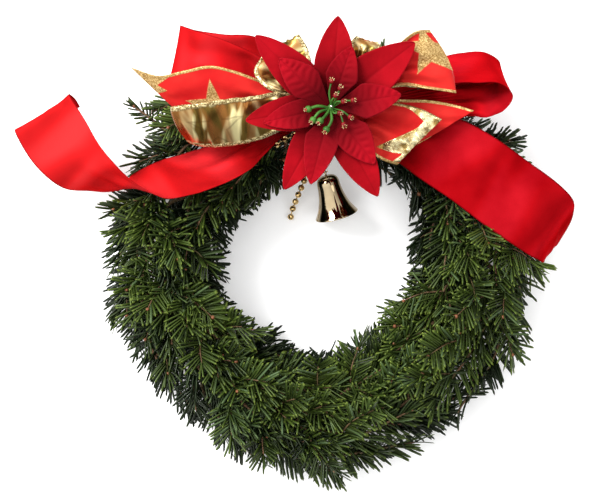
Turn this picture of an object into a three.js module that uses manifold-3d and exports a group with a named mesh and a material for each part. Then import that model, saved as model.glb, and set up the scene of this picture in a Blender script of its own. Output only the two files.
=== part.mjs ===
// Fresh evergreen wreath lying on its back: fir sprays bound on a straw ring, with a two-ribbon bow,
// a silk poinsettia, a bell and strings of beads. Millimetres, +Z up, the wreath facing up.
import * as THREE from 'three';
import { mergeVertices } from 'three/addons/utils/BufferGeometryUtils.js';
import Module from 'manifold-3d';

const wasm = await Module();
wasm.setup();

// Driving dimensions
const ringRadius = 132.5; // middle of the straw ring
const ringHalfWidth = 17.5;
const ringHalfHeight = 21.5; // of the full ellipse that the flat underside cuts
const ringMiddleHeight = 13;
const ringSegments = 36;
const wireRadius = 0.7;
const sprayAngles = [98, 121, 144, 167, 190, 213, 236, 259, 281]; // counter-clockwise sprays, degrees
const returnAngles = [78, 56, 34, 12, -10]; // clockwise sprays
const stemBundleRadius = 4.2;
const stemBundleLength = 26;
const needleLength = 24;
const needleFoot = 4.4; // along the twig
const needlesPerWhorl = 3;
const foliageInnerRadius = 78.5;
const outerSwell = 5; // the wreath is that much wider towards its lower right
const ribbonThickness = 0.7;
const bractThickness = 0.8;
const tieX = 7; // the bow is tied here
const tieY = 130;
const tieRadius = 5;
const flowerX = 6.5;
const flowerY = 133;
const flowerZ = 114;
const bellLength = 37.5;
const bellMouthRadius = 19.5;
const beadRadius = 3;
const beadPitch = 7.6;
const touchGap = 0.3; // between pieces that rest against each other
const foliageGap = 0.6; // between a sprig and whatever isn't of its own spray
const twigGap = 1.5; // between the twigs of one spray
const sprigTries = 160;
const needleTries = 10;
const shortestEdge = 0.02;

const vec = (x, y, z) => new THREE.Vector3(x, y, z);
const lerp = (a, b, t) => a + (b - a) * t;

// Solid work: merged closed geometry to a solid and back
function toSolid(geometry) {
  const bare = geometry.clone();
  bare.deleteAttribute('normal');
  if (bare.getAttribute('uv')) bare.deleteAttribute('uv');
  const merged = mergeVertices(bare, 1e-4);
  const triangles = [];
  const index = merged.getIndex().array;
  for (let i = 0; i < index.length; i += 3) {
    const [a, b, c] = [index[i], index[i + 1], index[i + 2]];
    if (a !== b && b !== c && a !== c) triangles.push(a, b, c);
  }
  return new wasm.Manifold(new wasm.Mesh({
    numProp: 3,
    vertProperties: new Float32Array(merged.getAttribute('position').array),
    triVerts: new Uint32Array(triangles),
  }));
}

// Draws together the very short edges that a union leaves
function withoutShortEdges(solid) {
  const { vertProperties, triVerts, numVert } = solid.getMesh();
  const at = (i) => vec(...vertProperties.subarray(3 * i, 3 * i + 3));
  const joined = Array.from({ length: numVert }, (unused, i) => i);
  const find = (i) => (joined[i] === i ? i : find(joined[i]));
  for (let i = 0; i < triVerts.length; i++) {
    const next = i % 3 === 2 ? i - 2 : i + 1;
    const [a, b] = [find(triVerts[i]), find(triVerts[next])];
    if (a !== b && at(triVerts[i]).distanceTo(at(triVerts[next])) < shortestEdge) joined[a] = b;
  }
  const triangles = new Map();
  for (let i = 0; i < triVerts.length; i += 3) {
    const corners = [find(triVerts[i]), find(triVerts[i + 1]), find(triVerts[i + 2])];
    if (new Set(corners).size < 3) continue;
    const key = [...corners].sort((a, b) => a - b).join();
    if (triangles.has(key)) triangles.delete(key);
    else triangles.set(key, corners);
  }
  const closed = new wasm.Manifold(new wasm.Mesh({
    numProp: 3,
    vertProperties,
    triVerts: new Uint32Array([...triangles.values()].flat()),
  }));
  if (closed.status() !== 'NoError') throw new Error(`short edges left it open: ${closed.status()}`);
  return largestBody(closed);
}

function toGeometry(solid) {
  const { vertProperties, triVerts } = withoutShortEdges(solid).getMesh();
  const geometry = new THREE.BufferGeometry();
  geometry.setAttribute('position', new THREE.BufferAttribute(new Float32Array(vertProperties), 3));
  geometry.setIndex([...triVerts]);
  geometry.computeVertexNormals();
  return geometry;
}

function largestBody(solid) {
  const bodies = solid.decompose();
  return bodies.reduce((best, body) => (body.volume() > best.volume() ? body : best));
}

function unite(solids) {
  return largestBody(wasm.Manifold.union(solids));
}

// A closed solid from points and triangles
function pointsToSolid(points, index) {
  const geometry = new THREE.BufferGeometry();
  const positions = points.flatMap((point) => point.toArray());
  geometry.setAttribute('position', new THREE.Float32BufferAttribute(positions, 3));
  geometry.setIndex(index);
  return toSolid(geometry);
}

// A tapered round bar between two points
function bar(from, to, startRadius, endRadius, sides) {
  const axis = to.clone().sub(from);
  const geometry = new THREE.CylinderGeometry(endRadius, startRadius, axis.length(), sides, 1);
  const turn = new THREE.Quaternion().setFromUnitVectors(vec(0, 1, 0), axis.clone().normalize());
  geometry.applyQuaternion(turn);
  const middle = from.clone().add(to).multiplyScalar(0.5);
  geometry.translate(middle.x, middle.y, middle.z);
  return toSolid(geometry);
}

// A round ball with few faces, stretched to an oval
function ball(centre, radius, around, down, stretch = 1) {
  const geometry = new THREE.SphereGeometry(radius, around, down);
  geometry.rotateX(Math.PI / 2);
  geometry.scale(1, 1, stretch);
  geometry.translate(centre.x, centre.y, centre.z);
  return toSolid(geometry);
}

// A closed sheet of even thickness over a grid of points, split into triangles alike on both faces
function sheetGeometry(grid, thickness) {
  const rows = grid.length;
  const columns = grid[0].length;
  const positions = [];
  for (const side of [0.5, -0.5]) {
    for (let i = 0; i < rows; i++) {
      for (let j = 0; j < columns; j++) {
        const along = grid[Math.min(i + 1, rows - 1)][j].clone().sub(grid[Math.max(i - 1, 0)][j]);
        const across = grid[i][Math.min(j + 1, columns - 1)].clone().sub(grid[i][Math.max(j - 1, 0)]);
        const normal = along.cross(across).normalize().multiplyScalar(side * thickness);
        positions.push(...grid[i][j].clone().add(normal).toArray());
      }
    }
  }
  const under = rows * columns;
  const at = (i, j) => i * columns + j;
  const index = [];
  for (let i = 0; i < rows - 1; i++) {
    for (let j = 0; j < columns - 1; j++) {
      const [a, b, c, d] = [at(i, j), at(i + 1, j), at(i + 1, j + 1), at(i, j + 1)];
      index.push(a, b, c, a, c, d);
      index.push(under + a, under + c, under + b, under + a, under + d, under + c);
    }
  }
  const rim = [];
  for (let i = 0; i < rows - 1; i++) rim.push([at(i, 0), at(i + 1, 0)]);
  for (let j = 0; j < columns - 1; j++) rim.push([at(rows - 1, j), at(rows - 1, j + 1)]);
  for (let i = rows - 1; i > 0; i--) rim.push([at(i, columns - 1), at(i - 1, columns - 1)]);
  for (let j = columns - 1; j > 0; j--) rim.push([at(0, j), at(0, j - 1)]);
  for (const [a, b] of rim) index.push(b, a, under + a, b, under + a, under + b);
  const geometry = new THREE.BufferGeometry();
  geometry.setAttribute('position', new THREE.Float32BufferAttribute(positions, 3));
  geometry.setIndex(index);
  return geometry;
}

// Straw ring: an ellipse with a flat underside, turned round the hole
function ringProfile() {
  const points = [];
  const flatAngle = Math.asin(ringMiddleHeight / ringHalfHeight);
  const steps = 9;
  for (let i = 0; i <= steps; i++) {
    const angle = lerp(-flatAngle, Math.PI + flatAngle, i / steps);
    const height = Math.max(0, ringMiddleHeight + ringHalfHeight * Math.sin(angle));
    points.push(new THREE.Vector2(ringRadius + ringHalfWidth * Math.cos(angle), height));
  }
  points.push(points[0].clone());
  return points;
}

const ringTop = ringMiddleHeight + ringHalfHeight;

function ringGap(point) {
  const out = (Math.hypot(point.x, point.y) - ringRadius) / ringHalfWidth;
  const up = (point.z - ringMiddleHeight) / ringHalfHeight;
  return (Math.hypot(out, up) - 1) * ringHalfWidth;
}

// Where a spray's stems are bound: arc runs the way the sprigs point
function ringPoint(angleDegrees, way, arc, radius, z) {
  const angle = THREE.MathUtils.degToRad(angleDegrees) + (way * arc) / ringRadius;
  return vec(radius * Math.cos(angle), radius * Math.sin(angle), z);
}

const sprays = [
  ...sprayAngles.map((angle) => ({ angle, way: 1 })),
  ...returnAngles.map((angle) => ({ angle, way: -1 })),
];

// Binding wire: one turn for each spray, over its stems and through a groove in the ring's underside
function wirePoints() {
  const fullTurn = 2 * Math.PI;
  const angles = sprays.map(({ angle, way }) => {
    const over = ringPoint(angle, way, stemBundleLength * 0.35, ringRadius, 0);
    return (Math.atan2(over.y, over.x) + fullTurn) % fullTurn;
  });
  angles.sort((a, b) => a - b);
  const points = [];
  const overStems = ringTop + 2 * touchGap + 2 * stemBundleRadius + wireRadius + 0.6;
  const under = wireRadius + touchGap;
  // Out from the ring's middle, height, and how far on towards the next turn
  const section = [
    [0, overStems, 0], [-5.2, overStems - 2.3, 0.01], [-9.9, ringTop + 0.8, 0.02], [-16.3, 27, 0.05],
    [-19.8, 13, 0.1], [-16.8, under, 0.2], [16.8, under, 0.8], [19.8, 13, 0.9], [16.3, 27, 0.95],
    [9.9, ringTop + 0.8, 0.98], [5.2, overStems - 2.3, 0.99],
  ];
  angles.forEach((angle, turn) => {
    const next = turn + 1 < angles.length ? angles[turn + 1] : angles[0] + fullTurn;
    section.forEach(([out, z, onward]) => {
      const at = lerp(angle, next, onward);
      points.push(vec((ringRadius + out) * Math.cos(at), (ringRadius + out) * Math.sin(at), z));
    });
  });
  return points;
}

const wirePointsPerTurn = 11;
const slotWidth = 2.6;
const slotDepth = 2;
const slotFirstPoint = 5; // the wire passes under the ring from this point to the next

function wireSlots(route) {
  const slots = [];
  for (let i = slotFirstPoint; i < route.length; i += wirePointsPerTurn) {
    const [from, to] = [route[i], route[i + 1]];
    const slot = new THREE.BoxGeometry(Math.hypot(to.x - from.x, to.y - from.y), slotWidth, 2 * slotDepth);
    slot.rotateZ(Math.atan2(to.y - from.y, to.x - from.x));
    slot.translate((from.x + to.x) / 2, (from.y + to.y) / 2, 0);
    slots.push(toSolid(slot));
  }
  return wasm.Manifold.union(slots);
}

function loopGeometry(points, radius, sides) {
  const curve = new THREE.CatmullRomCurve3(points, true, 'catmullrom', 0.02);
  curve.getPointAt = (t, target) => curve.getPoint(t, target);
  curve.getTangentAt = (t, target) => curve.getTangent(t, target);
  return new THREE.TubeGeometry(curve, points.length, radius, sides, true);
}

// Ribbons: each row holds the two edges of the ribbon at one station, from the tie outwards
const redLeftTail = [
  [[1.5, 135, 64], [1.5, 123, 66]], [[-32, 131, 62], [-27, 116, 80]], [[-67, 121, 60], [-47, 96, 90]],
  [[-98, 106, 60], [-64, 80, 96]], [[-124, 96, 57], [-89, 66, 98]], [[-143, 84, 53], [-112, 61, 100]],
  [[-161, 61, 50], [-139, 62, 101]], [[-192, 64, 52], [-162, 75, 97]], [[-224, 68, 54], [-189, 104, 88]],
  [[-251, 89, 56], [-205, 127, 78]], [[-267, 117, 62], [-218, 148, 75]], [[-265, 119, 50], [-214, 145, 63]],
  [[-259, 113, 43], [-211, 139, 56]],
];
const redRightTail = [
  [[12.5, 135, 60], [12.5, 123, 60]], [[50, 133, 72], [40, 104, 72]], [[90, 132, 80], [62, 91, 80]],
  [[118, 126, 84], [82, 76, 84]], [[146, 111, 85], [110, 57, 85]], [[173, 92, 83], [139, 35, 84]],
  [[200, 72, 77], [164, 18, 82]], [[213, 60, 64], [180, 8, 78]], [[219, 46, 45], [187, 5, 72]],
  [[217, 31, 28], [190, 3, 66]], [[212, 20, 16], [191, 2, 60]],
];
const redLeftLoop = [
  [[1.5, 140, 72], [1.5, 128, 71]], [[-52, 186, 76], [-44, 136, 72]], [[-86, 200, 74], [-87, 138, 70]],
  [[-111, 204, 73], [-115, 141, 69]], [[-122, 206, 80], [-129, 144, 76]], [[-107, 201, 88], [-116, 140, 84]],
  [[-81, 192, 90], [-86, 134, 86]], [[-52, 178, 88], [-55, 130, 84]], [[1.5, 139, 80], [1.5, 127, 79]],
];
const redRightLoop = [
  [[12.5, 140, 78], [12.5, 130, 80]], [[54, 165, 60], [59, 147, 86]], [[94, 180, 50], [98, 156, 94]],
  [[125, 187, 46], [128, 156, 99]], [[144, 187, 46], [150, 155, 100]], [[155, 174, 46], [161, 145, 99]],
  [[152, 159, 46], [155, 134, 98]], [[137, 153, 46], [141, 128, 97]], [[112, 152, 50], [116, 128, 94]],
  [[72, 150, 60], [79, 135, 84]], [[12.5, 138, 67], [12.5, 127, 70]],
];
const goldLeftTail = [
  [[1.5, 140, 86], [1.5, 130, 85]], [[-30, 150, 94], [-26, 123, 86]], [[-57, 159, 100], [-52, 118, 84]],
  [[-77, 166, 102], [-71, 117, 83]], [[-96, 170, 101], [-88, 118, 82]], [[-118, 166, 98], [-102, 121, 81]],
  [[-140, 162, 97], [-110, 123, 80]], [[-163, 169, 98], [-117, 126, 79]],
];
const goldLeftLoop = [
  [[1.5, 136, 103], [1.5, 127, 102]], [[-33, 147, 111], [-30, 117, 103]], [[-57, 143, 117], [-55, 107, 100]],
  [[-84, 140, 119], [-81, 102, 98]], [[-109, 136, 118], [-102, 102, 96]], [[-128, 134, 113], [-115, 106, 93]],
  [[-112, 137, 108], [-103, 109, 89]], [[-85, 140, 107], [-81, 110, 89]], [[-55, 142, 105], [-52, 115, 91]],
  [[1.5, 136, 95], [1.5, 126, 94]],
];
const goldTopLeftLoop = [
  [[2.4, 135.6, 109], [6.6, 135.6, 109]], [[-26, 148, 112], [-4, 153, 110]], [[-51, 162, 112], [-9, 169, 111]],
  [[-58, 175, 110], [-13, 184, 110]], [[-46, 193, 106], [-20, 195, 106]], [[-56, 177, 102], [-15, 185, 101]],
  [[-48, 161, 103], [-10, 169, 101]], [[2.4, 135.6, 99.5], [6.6, 135.6, 99.5]],
];
const goldTopRightLoop = [
  [[7.6, 135.6, 107], [11.6, 135.6, 107]], [[14, 157, 106], [31, 150, 106]], [[19, 175, 107], [43, 165, 107]],
  [[23, 189, 106], [51, 179, 106]], [[28, 195, 102], [47, 190, 102]], [[23, 186, 97], [50, 177, 97]],
  [[16, 163, 98], [37, 158, 98]], [[7.6, 135.6, 100], [11.6, 135.6, 100]],
];
const goldRightUpperLoop = [
  [[12.5, 134, 109], [12.5, 128, 108]], [[41, 160, 113], [44, 144, 112]], [[62, 185, 116], [66, 152, 116]],
  [[77, 197, 117], [89, 149, 117]], [[90, 199, 111], [112, 146, 111]], [[80, 196, 104], [97, 149, 104]],
  [[63, 183, 103], [68, 152, 103]], [[40, 160, 104], [43, 146, 104]], [[12.5, 134, 104], [12.5, 128, 104]],
];
const goldRightTail = [
  [[12.5, 135, 86], [12.5, 124, 86]], [[36, 143, 90], [33, 118, 88]], [[65, 142, 93], [55, 103, 88]],
  [[90, 141, 97], [70, 101, 90]], [[112, 137, 99], [80, 104, 91]], [[128, 132, 101], [91, 110, 92]],
];
const goldRightLowerLoop = [
  [[12.5, 131, 100], [12.5, 122, 100]], [[36, 139, 105], [29, 108, 104]], [[61, 138, 110], [46, 92, 108]],
  [[81, 133, 112], [54, 88, 109]], [[100, 124, 108], [63, 86, 105]], [[85, 129, 102], [56, 90, 98]],
  [[61, 134, 99], [46, 97, 95]], [[35, 136, 97], [30, 110, 94]], [[12.5, 132, 94], [12.5, 122, 93]],
];

const satinRed = { color: 0xd9141c, roughness: 0.42, metalness: 0 };
const goldCloth = { color: 0xc9a24a, roughness: 0.4, metalness: 0.7 };
const ribbons = {
  red_ribbon_left_tail: { rows: redLeftTail, finish: satinRed },
  red_ribbon_right_tail: { rows: redRightTail, finish: satinRed },
  red_ribbon_left_loop: { rows: redLeftLoop, finish: satinRed },
  red_ribbon_right_loop: { rows: redRightLoop, finish: satinRed },
  gold_ribbon_left_tail: { rows: goldLeftTail, finish: goldCloth },
  gold_ribbon_left_loop: { rows: goldLeftLoop, finish: goldCloth },
  gold_ribbon_top_left_loop: { rows: goldTopLeftLoop, finish: goldCloth },
  gold_ribbon_top_right_loop: { rows: goldTopRightLoop, finish: goldCloth },
  gold_ribbon_right_upper_loop: { rows: goldRightUpperLoop, finish: goldCloth },
  gold_ribbon_right_tail: { rows: goldRightTail, finish: goldCloth },
  gold_ribbon_right_lower_loop: { rows: goldRightLowerLoop, finish: goldCloth },
};

function ribbonGrid(rows, stepsPerRow, columns) {
  const edges = [0, 1].map((side) => new THREE.CatmullRomCurve3(
    rows.map((row) => vec(...row[side])), false, 'centripetal'));
  const steps = (rows.length - 1) * stepsPerRow;
  const grid = [];
  for (let i = 0; i <= steps; i++) {
    const [a, b] = edges.map((edge) => edge.getPoint(i / steps));
    grid.push(Array.from({ length: columns + 1 }, (unused, j) => a.clone().lerp(b, j / columns)));
  }
  return grid;
}

// Poinsettia: bracts as arched, cupped blades round a small disc. Tips are seen from the flower's middle.
const outerBracts = [
  { tip: [6, 76, 10], width: 34 }, { tip: [-63, 60, 8], width: 32 }, { tip: [70, 54, 8], width: 38 },
  { tip: [39, -74, 6], width: 33 }, { tip: [-39, -68, 6], width: 31 }, { tip: [-71, -11, 11], width: 30 },
];
const innerBracts = [
  { tip: [17, 50, 15], width: 27 }, { tip: [-43, 40, 15], width: 29 }, { tip: [58, 10, 16], width: 29 },
  { tip: [36, -47, 13], width: 30 }, { tip: [-17, -64, 13], width: 28 }, { tip: [-56, -13, 16], width: 24 },
];

function bract({ tip, width }, rootHeight, arch) {
  const out = vec(tip[0], tip[1], 0).normalize();
  const root = vec(flowerX, flowerY, flowerZ + rootHeight).addScaledVector(out, 3);
  const end = vec(flowerX + tip[0], flowerY + tip[1], flowerZ + tip[2]);
  const side = vec(-out.y, out.x, 0);
  const steps = 5;
  const columns = 2;
  const cup = 0.16;
  const rootSpread = 0.53; // keeps neighbouring bracts apart towards the middle
  const grid = [];
  for (let i = 0; i <= steps; i++) {
    const t = i / steps;
    const middle = root.clone().lerp(end, t);
    middle.z += arch * Math.sin(Math.PI * t);
    const full = (width / 2) * Math.sin(Math.PI * Math.min(1, 0.1 + 0.9 * t ** 0.85)) ** 0.8;
    const fromMiddle = Math.hypot(middle.x - flowerX, middle.y - flowerY);
    const half = Math.max(0.5, Math.min(full, rootSpread * fromMiddle));
    grid.push(Array.from({ length: columns + 1 }, (unused, j) => {
      const across = (2 * j) / columns - 1;
      const point = middle.clone().addScaledVector(side, half * across);
      point.z += cup * half * Math.abs(across);
      return point;
    }));
  }
  return toSolid(sheetGeometry(grid, bractThickness));
}

function bractLayer(list, rootHeight, arch) {
  const middle = flowerZ + rootHeight;
  const disc = bar(vec(flowerX, flowerY, middle - 1.5), vec(flowerX, flowerY, middle + 1.5), 7, 6, 10);
  return unite([disc, ...list.map((one) => bract(one, rootHeight, arch))]);
}

// Stamens: green stems and buds standing on a small disc; heads are seen from the flower's middle
const stamenHeads = [
  [-19, -2, 10], [-15, -11, 9], [-9, -12, 12], [-4, -19, 10], [10, -14, 10], [15, -8, 9],
  [3, 8, 11], [9, 4, 11], [17, 5, 10], [7, 14, 11], [0, 20, 9], [6, -5, 9],
];

function stamens() {
  const floor = flowerZ + 8.3;
  const solids = [bar(vec(flowerX, flowerY, floor), vec(flowerX, flowerY, floor + 2.5), 5, 4, 6)];
  for (const [x, y, z] of stamenHeads) {
    const out = vec(x, y, 0).normalize().multiplyScalar(3.4);
    const foot = vec(flowerX + out.x, flowerY + out.y, floor + 1);
    const head = vec(flowerX + x, flowerY + y, floor + z);
    solids.push(bar(foot, head, 0.9, 0.8, 3), ball(head, 2.1, 5, 3, 1.3));
  }
  return unite(solids);
}

function pin() {
  const foot = vec(flowerX, flowerY, flowerZ + 8.3 + 2.5 + touchGap);
  const top = foot.clone().add(vec(0, 0, 11));
  return unite([bar(foot, top, 0.8, 0.8, 6), bar(top, top.clone().add(vec(0, 0, 1)), 1.7, 1.1, 8)]);
}

// Bell: a thin flared shell with a crown ring, lying mouth down the page with its rim near the surface
const bellCrown = vec(3.6, 80.4, 29);
const bellAxis = vec(10, -36, -9.8).normalize();

function place(geometry, origin, axis) {
  geometry.applyQuaternion(new THREE.Quaternion().setFromUnitVectors(vec(0, 1, 0), axis));
  geometry.translate(origin.x, origin.y, origin.z);
  return geometry;
}

function bell() {
  // Out from the axis, and down from the crown
  const outer = [
    [0, 0], [4.5, 0.6], [8, 3.5], [9.1, 9], [9.6, 17], [12, 25.5], [15.4, 32], [bellMouthRadius, bellLength],
  ];
  const inner = [
    [bellMouthRadius - 1.4, bellLength], [14.2, 32], [10.7, 25.5], [8.3, 17], [7.8, 9], [6, 4.6], [0, 3.4],
  ];
  const profile = [...outer, ...inner].map(([r, y]) => new THREE.Vector2(r, y));
  const shell = toSolid(place(new THREE.LatheGeometry(profile, 12), bellCrown, bellAxis));
  const ring = new THREE.TorusGeometry(2.6, 0.8, 5, 10);
  ring.translate(0, -2.4, 0);
  return unite([shell, toSolid(place(ring, bellCrown, bellAxis))]);
}

function tube(points, radius, sides, steps) {
  const shape = new THREE.Shape();
  for (let i = 0; i < sides; i++) {
    const angle = (2 * Math.PI * i) / sides;
    const [x, y] = [radius * Math.cos(angle), radius * Math.sin(angle)];
    if (i) shape.lineTo(x, y);
    else shape.moveTo(x, y);
  }
  const path = new THREE.CatmullRomCurve3(points);
  return toSolid(new THREE.ExtrudeGeometry(shape, { steps, extrudePath: path, bevelEnabled: false }));
}

// The bell's wire leaves the tie low down and hooks through the crown ring
const bellRingMiddle = bellCrown.clone().addScaledVector(bellAxis, -2.4);
const bellWirePoints = [
  vec(tieX - 0.5, tieY - tieRadius - touchGap, 50), vec(4, 112, 47),
  bellRingMiddle.clone().add(vec(-0.6, 8, 5.5)), bellRingMiddle.clone().add(vec(-2.4, 1.2, 1.6)),
  bellRingMiddle.clone().add(vec(0, 0, 0)), bellRingMiddle.clone().add(vec(2.4, 1.4, 0.6)),
];

// Beads on a thin cord, evenly spaced along a curve and swept as one body
const chainPoints = [
  vec(4.1, 125.5, 44), vec(-4, 104, 40), vec(-11, 86, 32), vec(-15.5, 76, 24), vec(-22, 61, 13),
  vec(-26, 51, 6), vec(-28.4, 41, 3.3),
];
const strandPoints = [
  vec(2.4, 127.3, 56), vec(-14, 118, 57), vec(-28, 112, 57), vec(-37, 108, 55), vec(-41, 103, 52),
];
// Along and across, in bead radii
const beadProfile = [[-1, 0.24], [-0.6, 0.8], [0, 1], [0.6, 0.8], [1, 0.24]];

function beads(route) {
  const curve = new THREE.CatmullRomCurve3(route);
  const length = curve.getLength() - 2 * beadRadius;
  const count = Math.floor(length / beadPitch);
  const sides = 5;
  const rings = [];
  for (let i = 0; i <= count; i++) {
    const middle = beadRadius + (i / count) * length;
    for (const [along, across] of beadProfile) {
      rings.push([middle + along * beadRadius, across * beadRadius]);
    }
  }
  const points = [];
  const index = [];
  for (const [along, radius] of rings) {
    const part = THREE.MathUtils.clamp(along / (length + 2 * beadRadius), 0, 1);
    const axis = curve.getTangentAt(part);
    const side = new THREE.Vector3().crossVectors(axis, vec(0, 0, 1)).normalize();
    const frame = { axis, side, up: new THREE.Vector3().crossVectors(axis, side) };
    for (let j = 0; j < sides; j++) {
      points.push(around(curve.getPointAt(part), frame, (j * 2 * Math.PI) / sides, radius));
    }
  }
  const at = (r, j) => r * sides + (j % sides);
  for (let r = 0; r < rings.length - 1; r++) {
    for (let j = 0; j < sides; j++) {
      index.push(at(r, j), at(r, j + 1), at(r + 1, j + 1), at(r, j), at(r + 1, j + 1), at(r + 1, j));
    }
  }
  const last = rings.length - 1;
  for (let j = 1; j < sides - 1; j++) {
    index.push(at(0, 0), at(0, j + 1), at(0, j));
    index.push(at(last, 0), at(last, j), at(last, j + 1));
  }
  return pointsToSolid(points, index);
}

// The tie: wire wound round a post that stands on the ring, between the ribbons' gathered ends
function tiePost() {
  const bottom = ringTop + touchGap;
  const top = flowerZ - 1.5 - touchGap;
  const profile = [new THREE.Vector2(0, bottom), new THREE.Vector2(3.5, bottom)];
  const turns = 8;
  for (let i = 0; i <= turns; i++) {
    const radius = i % 2 ? tieRadius : tieRadius - 0.5;
    profile.push(new THREE.Vector2(radius, lerp(bottom + 2, top - 1, i / turns)));
  }
  profile.push(new THREE.Vector2(3.5, top), new THREE.Vector2(0, top));
  const geometry = new THREE.LatheGeometry(profile, 10);
  geometry.rotateX(Math.PI / 2);
  geometry.translate(tieX, tieY, 0);
  return toSolid(geometry);
}

// Fir sprays: a bound bundle of stems with sprigs that fan over, outside and inside the ring
// Knee and tip: arc along the ring, distance from its centre, height
const sprigRoles = [
  { knee: [22, 160, 27], tip: [66, 180, 17], whorls: 5 },
  { knee: [30, 160, 46], tip: [88, 181, 42], whorls: 5 },
  { knee: [34, 144, 58], tip: [98, 154, 68], whorls: 6 },
  { knee: [34, 123, 57], tip: [92, 115, 65], whorls: 5 },
  { knee: [28, 108, 45], tip: [76, 100, 44], whorls: 5 },
  { knee: [20, 106, 28], tip: [56, 96, 18], whorls: 4 },
];
// Sprigs that stand out of the rest, by spray and role
const straySprigs = {
  '1-1': { knee: [-124, 112, 42], tip: [-172, 147, 40] },
  '9-1': { knee: [40, 166, 38], tip: [54, 194, 40] },
  '10-1': { knee: [132, 108, 38], tip: [177, 114, 38] },
};

const needleSeed = 31337;
const needleSeedShift = { 13: 3 }; // by spray

function makeRandom(seed) {
  let state = seed >>> 0;
  return () => {
    state = (Math.imul(state, 1664525) + 1013904223) >>> 0;
    return state / 4294967296;
  };
}

// Shortest distance between two straight stretches
function stretchGap(p1, q1, p2, q2) {
  const d1 = q1.clone().sub(p1);
  const d2 = q2.clone().sub(p2);
  const r = p1.clone().sub(p2);
  const a = d1.dot(d1);
  const e = d2.dot(d2);
  const f = d2.dot(r);
  const c = d1.dot(r);
  const b = d1.dot(d2);
  const crossing = a * e - b * b;
  let s = crossing > 1e-9 ? THREE.MathUtils.clamp((b * f - c * e) / crossing, 0, 1) : 0;
  let t = e > 1e-9 ? (b * s + f) / e : 0;
  if (t < 0) {
    t = 0;
    s = THREE.MathUtils.clamp(-c / a, 0, 1);
  } else if (t > 1) {
    t = 1;
    s = THREE.MathUtils.clamp((b - c) / a, 0, 1);
  }
  return p1.clone().addScaledVector(d1, s).distanceTo(p2.clone().addScaledVector(d2, t));
}

const taken = []; // stretches that later foliage keeps clear of: from, to, radius, owner

function take(from, to, radius, owner) {
  const reach = from.distanceTo(to) / 2 + radius;
  taken.push({ from, to, radius, owner, reach, middle: from.clone().add(to).multiplyScalar(0.5) });
}

function takeLine(points, radius, owner) {
  for (let i = 1; i < points.length; i++) take(points[i - 1], points[i], radius, owner);
}

function isClear(from, to, radius, owner, ownGap) {
  const middle = from.clone().add(to).multiplyScalar(0.5);
  const reach = from.distanceTo(to) / 2 + radius;
  for (const other of taken) {
    const gap = other.owner === owner ? ownGap : foliageGap;
    if (gap < 0) continue;
    if (middle.distanceTo(other.middle) > reach + other.reach + gap) continue;
    if (stretchGap(from, to, other.from, other.to) < radius + other.radius + gap) return false;
  }
  for (let i = 0; i <= 5; i++) {
    const point = from.clone().lerp(to, i / 5);
    if (ringGap(point) < radius + touchGap) return false;
  }
  return true;
}

// Foliage keeps low where the bow lies on it
function underBow(point) {
  const cover = THREE.MathUtils.smoothstep(point.y, 62, 92);
  if (point.z > 38) point.z = 38 + (point.z - 38) * (1 - 0.72 * cover);
  return point;
}

const bundleHeight = ringTop + touchGap + stemBundleRadius;

function sprigPath(spray, role, stray, freedom, random) {
  const { angle, way } = spray;
  const shake = (size) => (random() - 0.5) * 2 * size * freedom;
  const root = ringPoint(angle, way, stemBundleLength * 0.62, ringRadius + shake(2), bundleHeight);
  if (stray) {
    const shaken = ([x, y, z]) => vec(x + shake(3), y + shake(3), z + shake(3));
    return [root, shaken(stray.knee), shaken(stray.tip)];
  }
  const stations = [role.knee, role.tip].map(([arc, radius, z], i) => {
    const loose = i ? 6 : 3;
    const onward = THREE.MathUtils.degToRad(angle) + (way * arc) / ringRadius;
    const fuller = radius > ringRadius ? outerSwell * Math.cos(onward + Math.PI / 4) : 0;
    const [a, r, h] = [arc + shake(loose), radius + fuller + shake(loose), z + shake(loose * 0.8)];
    return underBow(ringPoint(angle, way, a, r, h));
  });
  return [root, ...stations];
}

const twigRadii = [1.9, 1.6, 0.9];

// Every twig ends in a needle that carries straight on
function endPoint(curve) {
  return curve.getPoint(1).addScaledVector(curve.getTangent(1), needleLength * 0.5);
}

// A twig as short stretches. The first ones leave its bundle, so they aren't tested.
const twigStretches = 12;
const boundStretches = 3;
const crowdedStretches = 6; // here a twig may touch the others of its own spray

function stretchesOf(path) {
  const curve = new THREE.CatmullRomCurve3(path);
  const points = curve.getPoints(twigStretches);
  points.push(endPoint(curve));
  return points.slice(1).map((to, i) => [points[i], to]);
}

function sprigIsClear(path, owner) {
  return stretchesOf(path).every(([from, to], i) => {
    const ownGap = i < crowdedStretches ? -1 : twigGap;
    return i < boundStretches || isClear(from, to, twigRadii[0] + 0.2, owner, ownGap);
  });
}

// A point beside a curve, turned round its axis
function around(middle, frame, turn, radius) {
  return needleTip(middle, frame, Math.PI / 2, turn, radius);
}

function needleTip(root, frame, lean, turn, length) {
  const { axis, side, up } = frame;
  return root.clone().addScaledVector(axis, length * Math.cos(lean))
    .addScaledVector(side, length * Math.sin(lean) * Math.cos(turn))
    .addScaledVector(up, length * Math.sin(lean) * Math.sin(turn));
}

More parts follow.
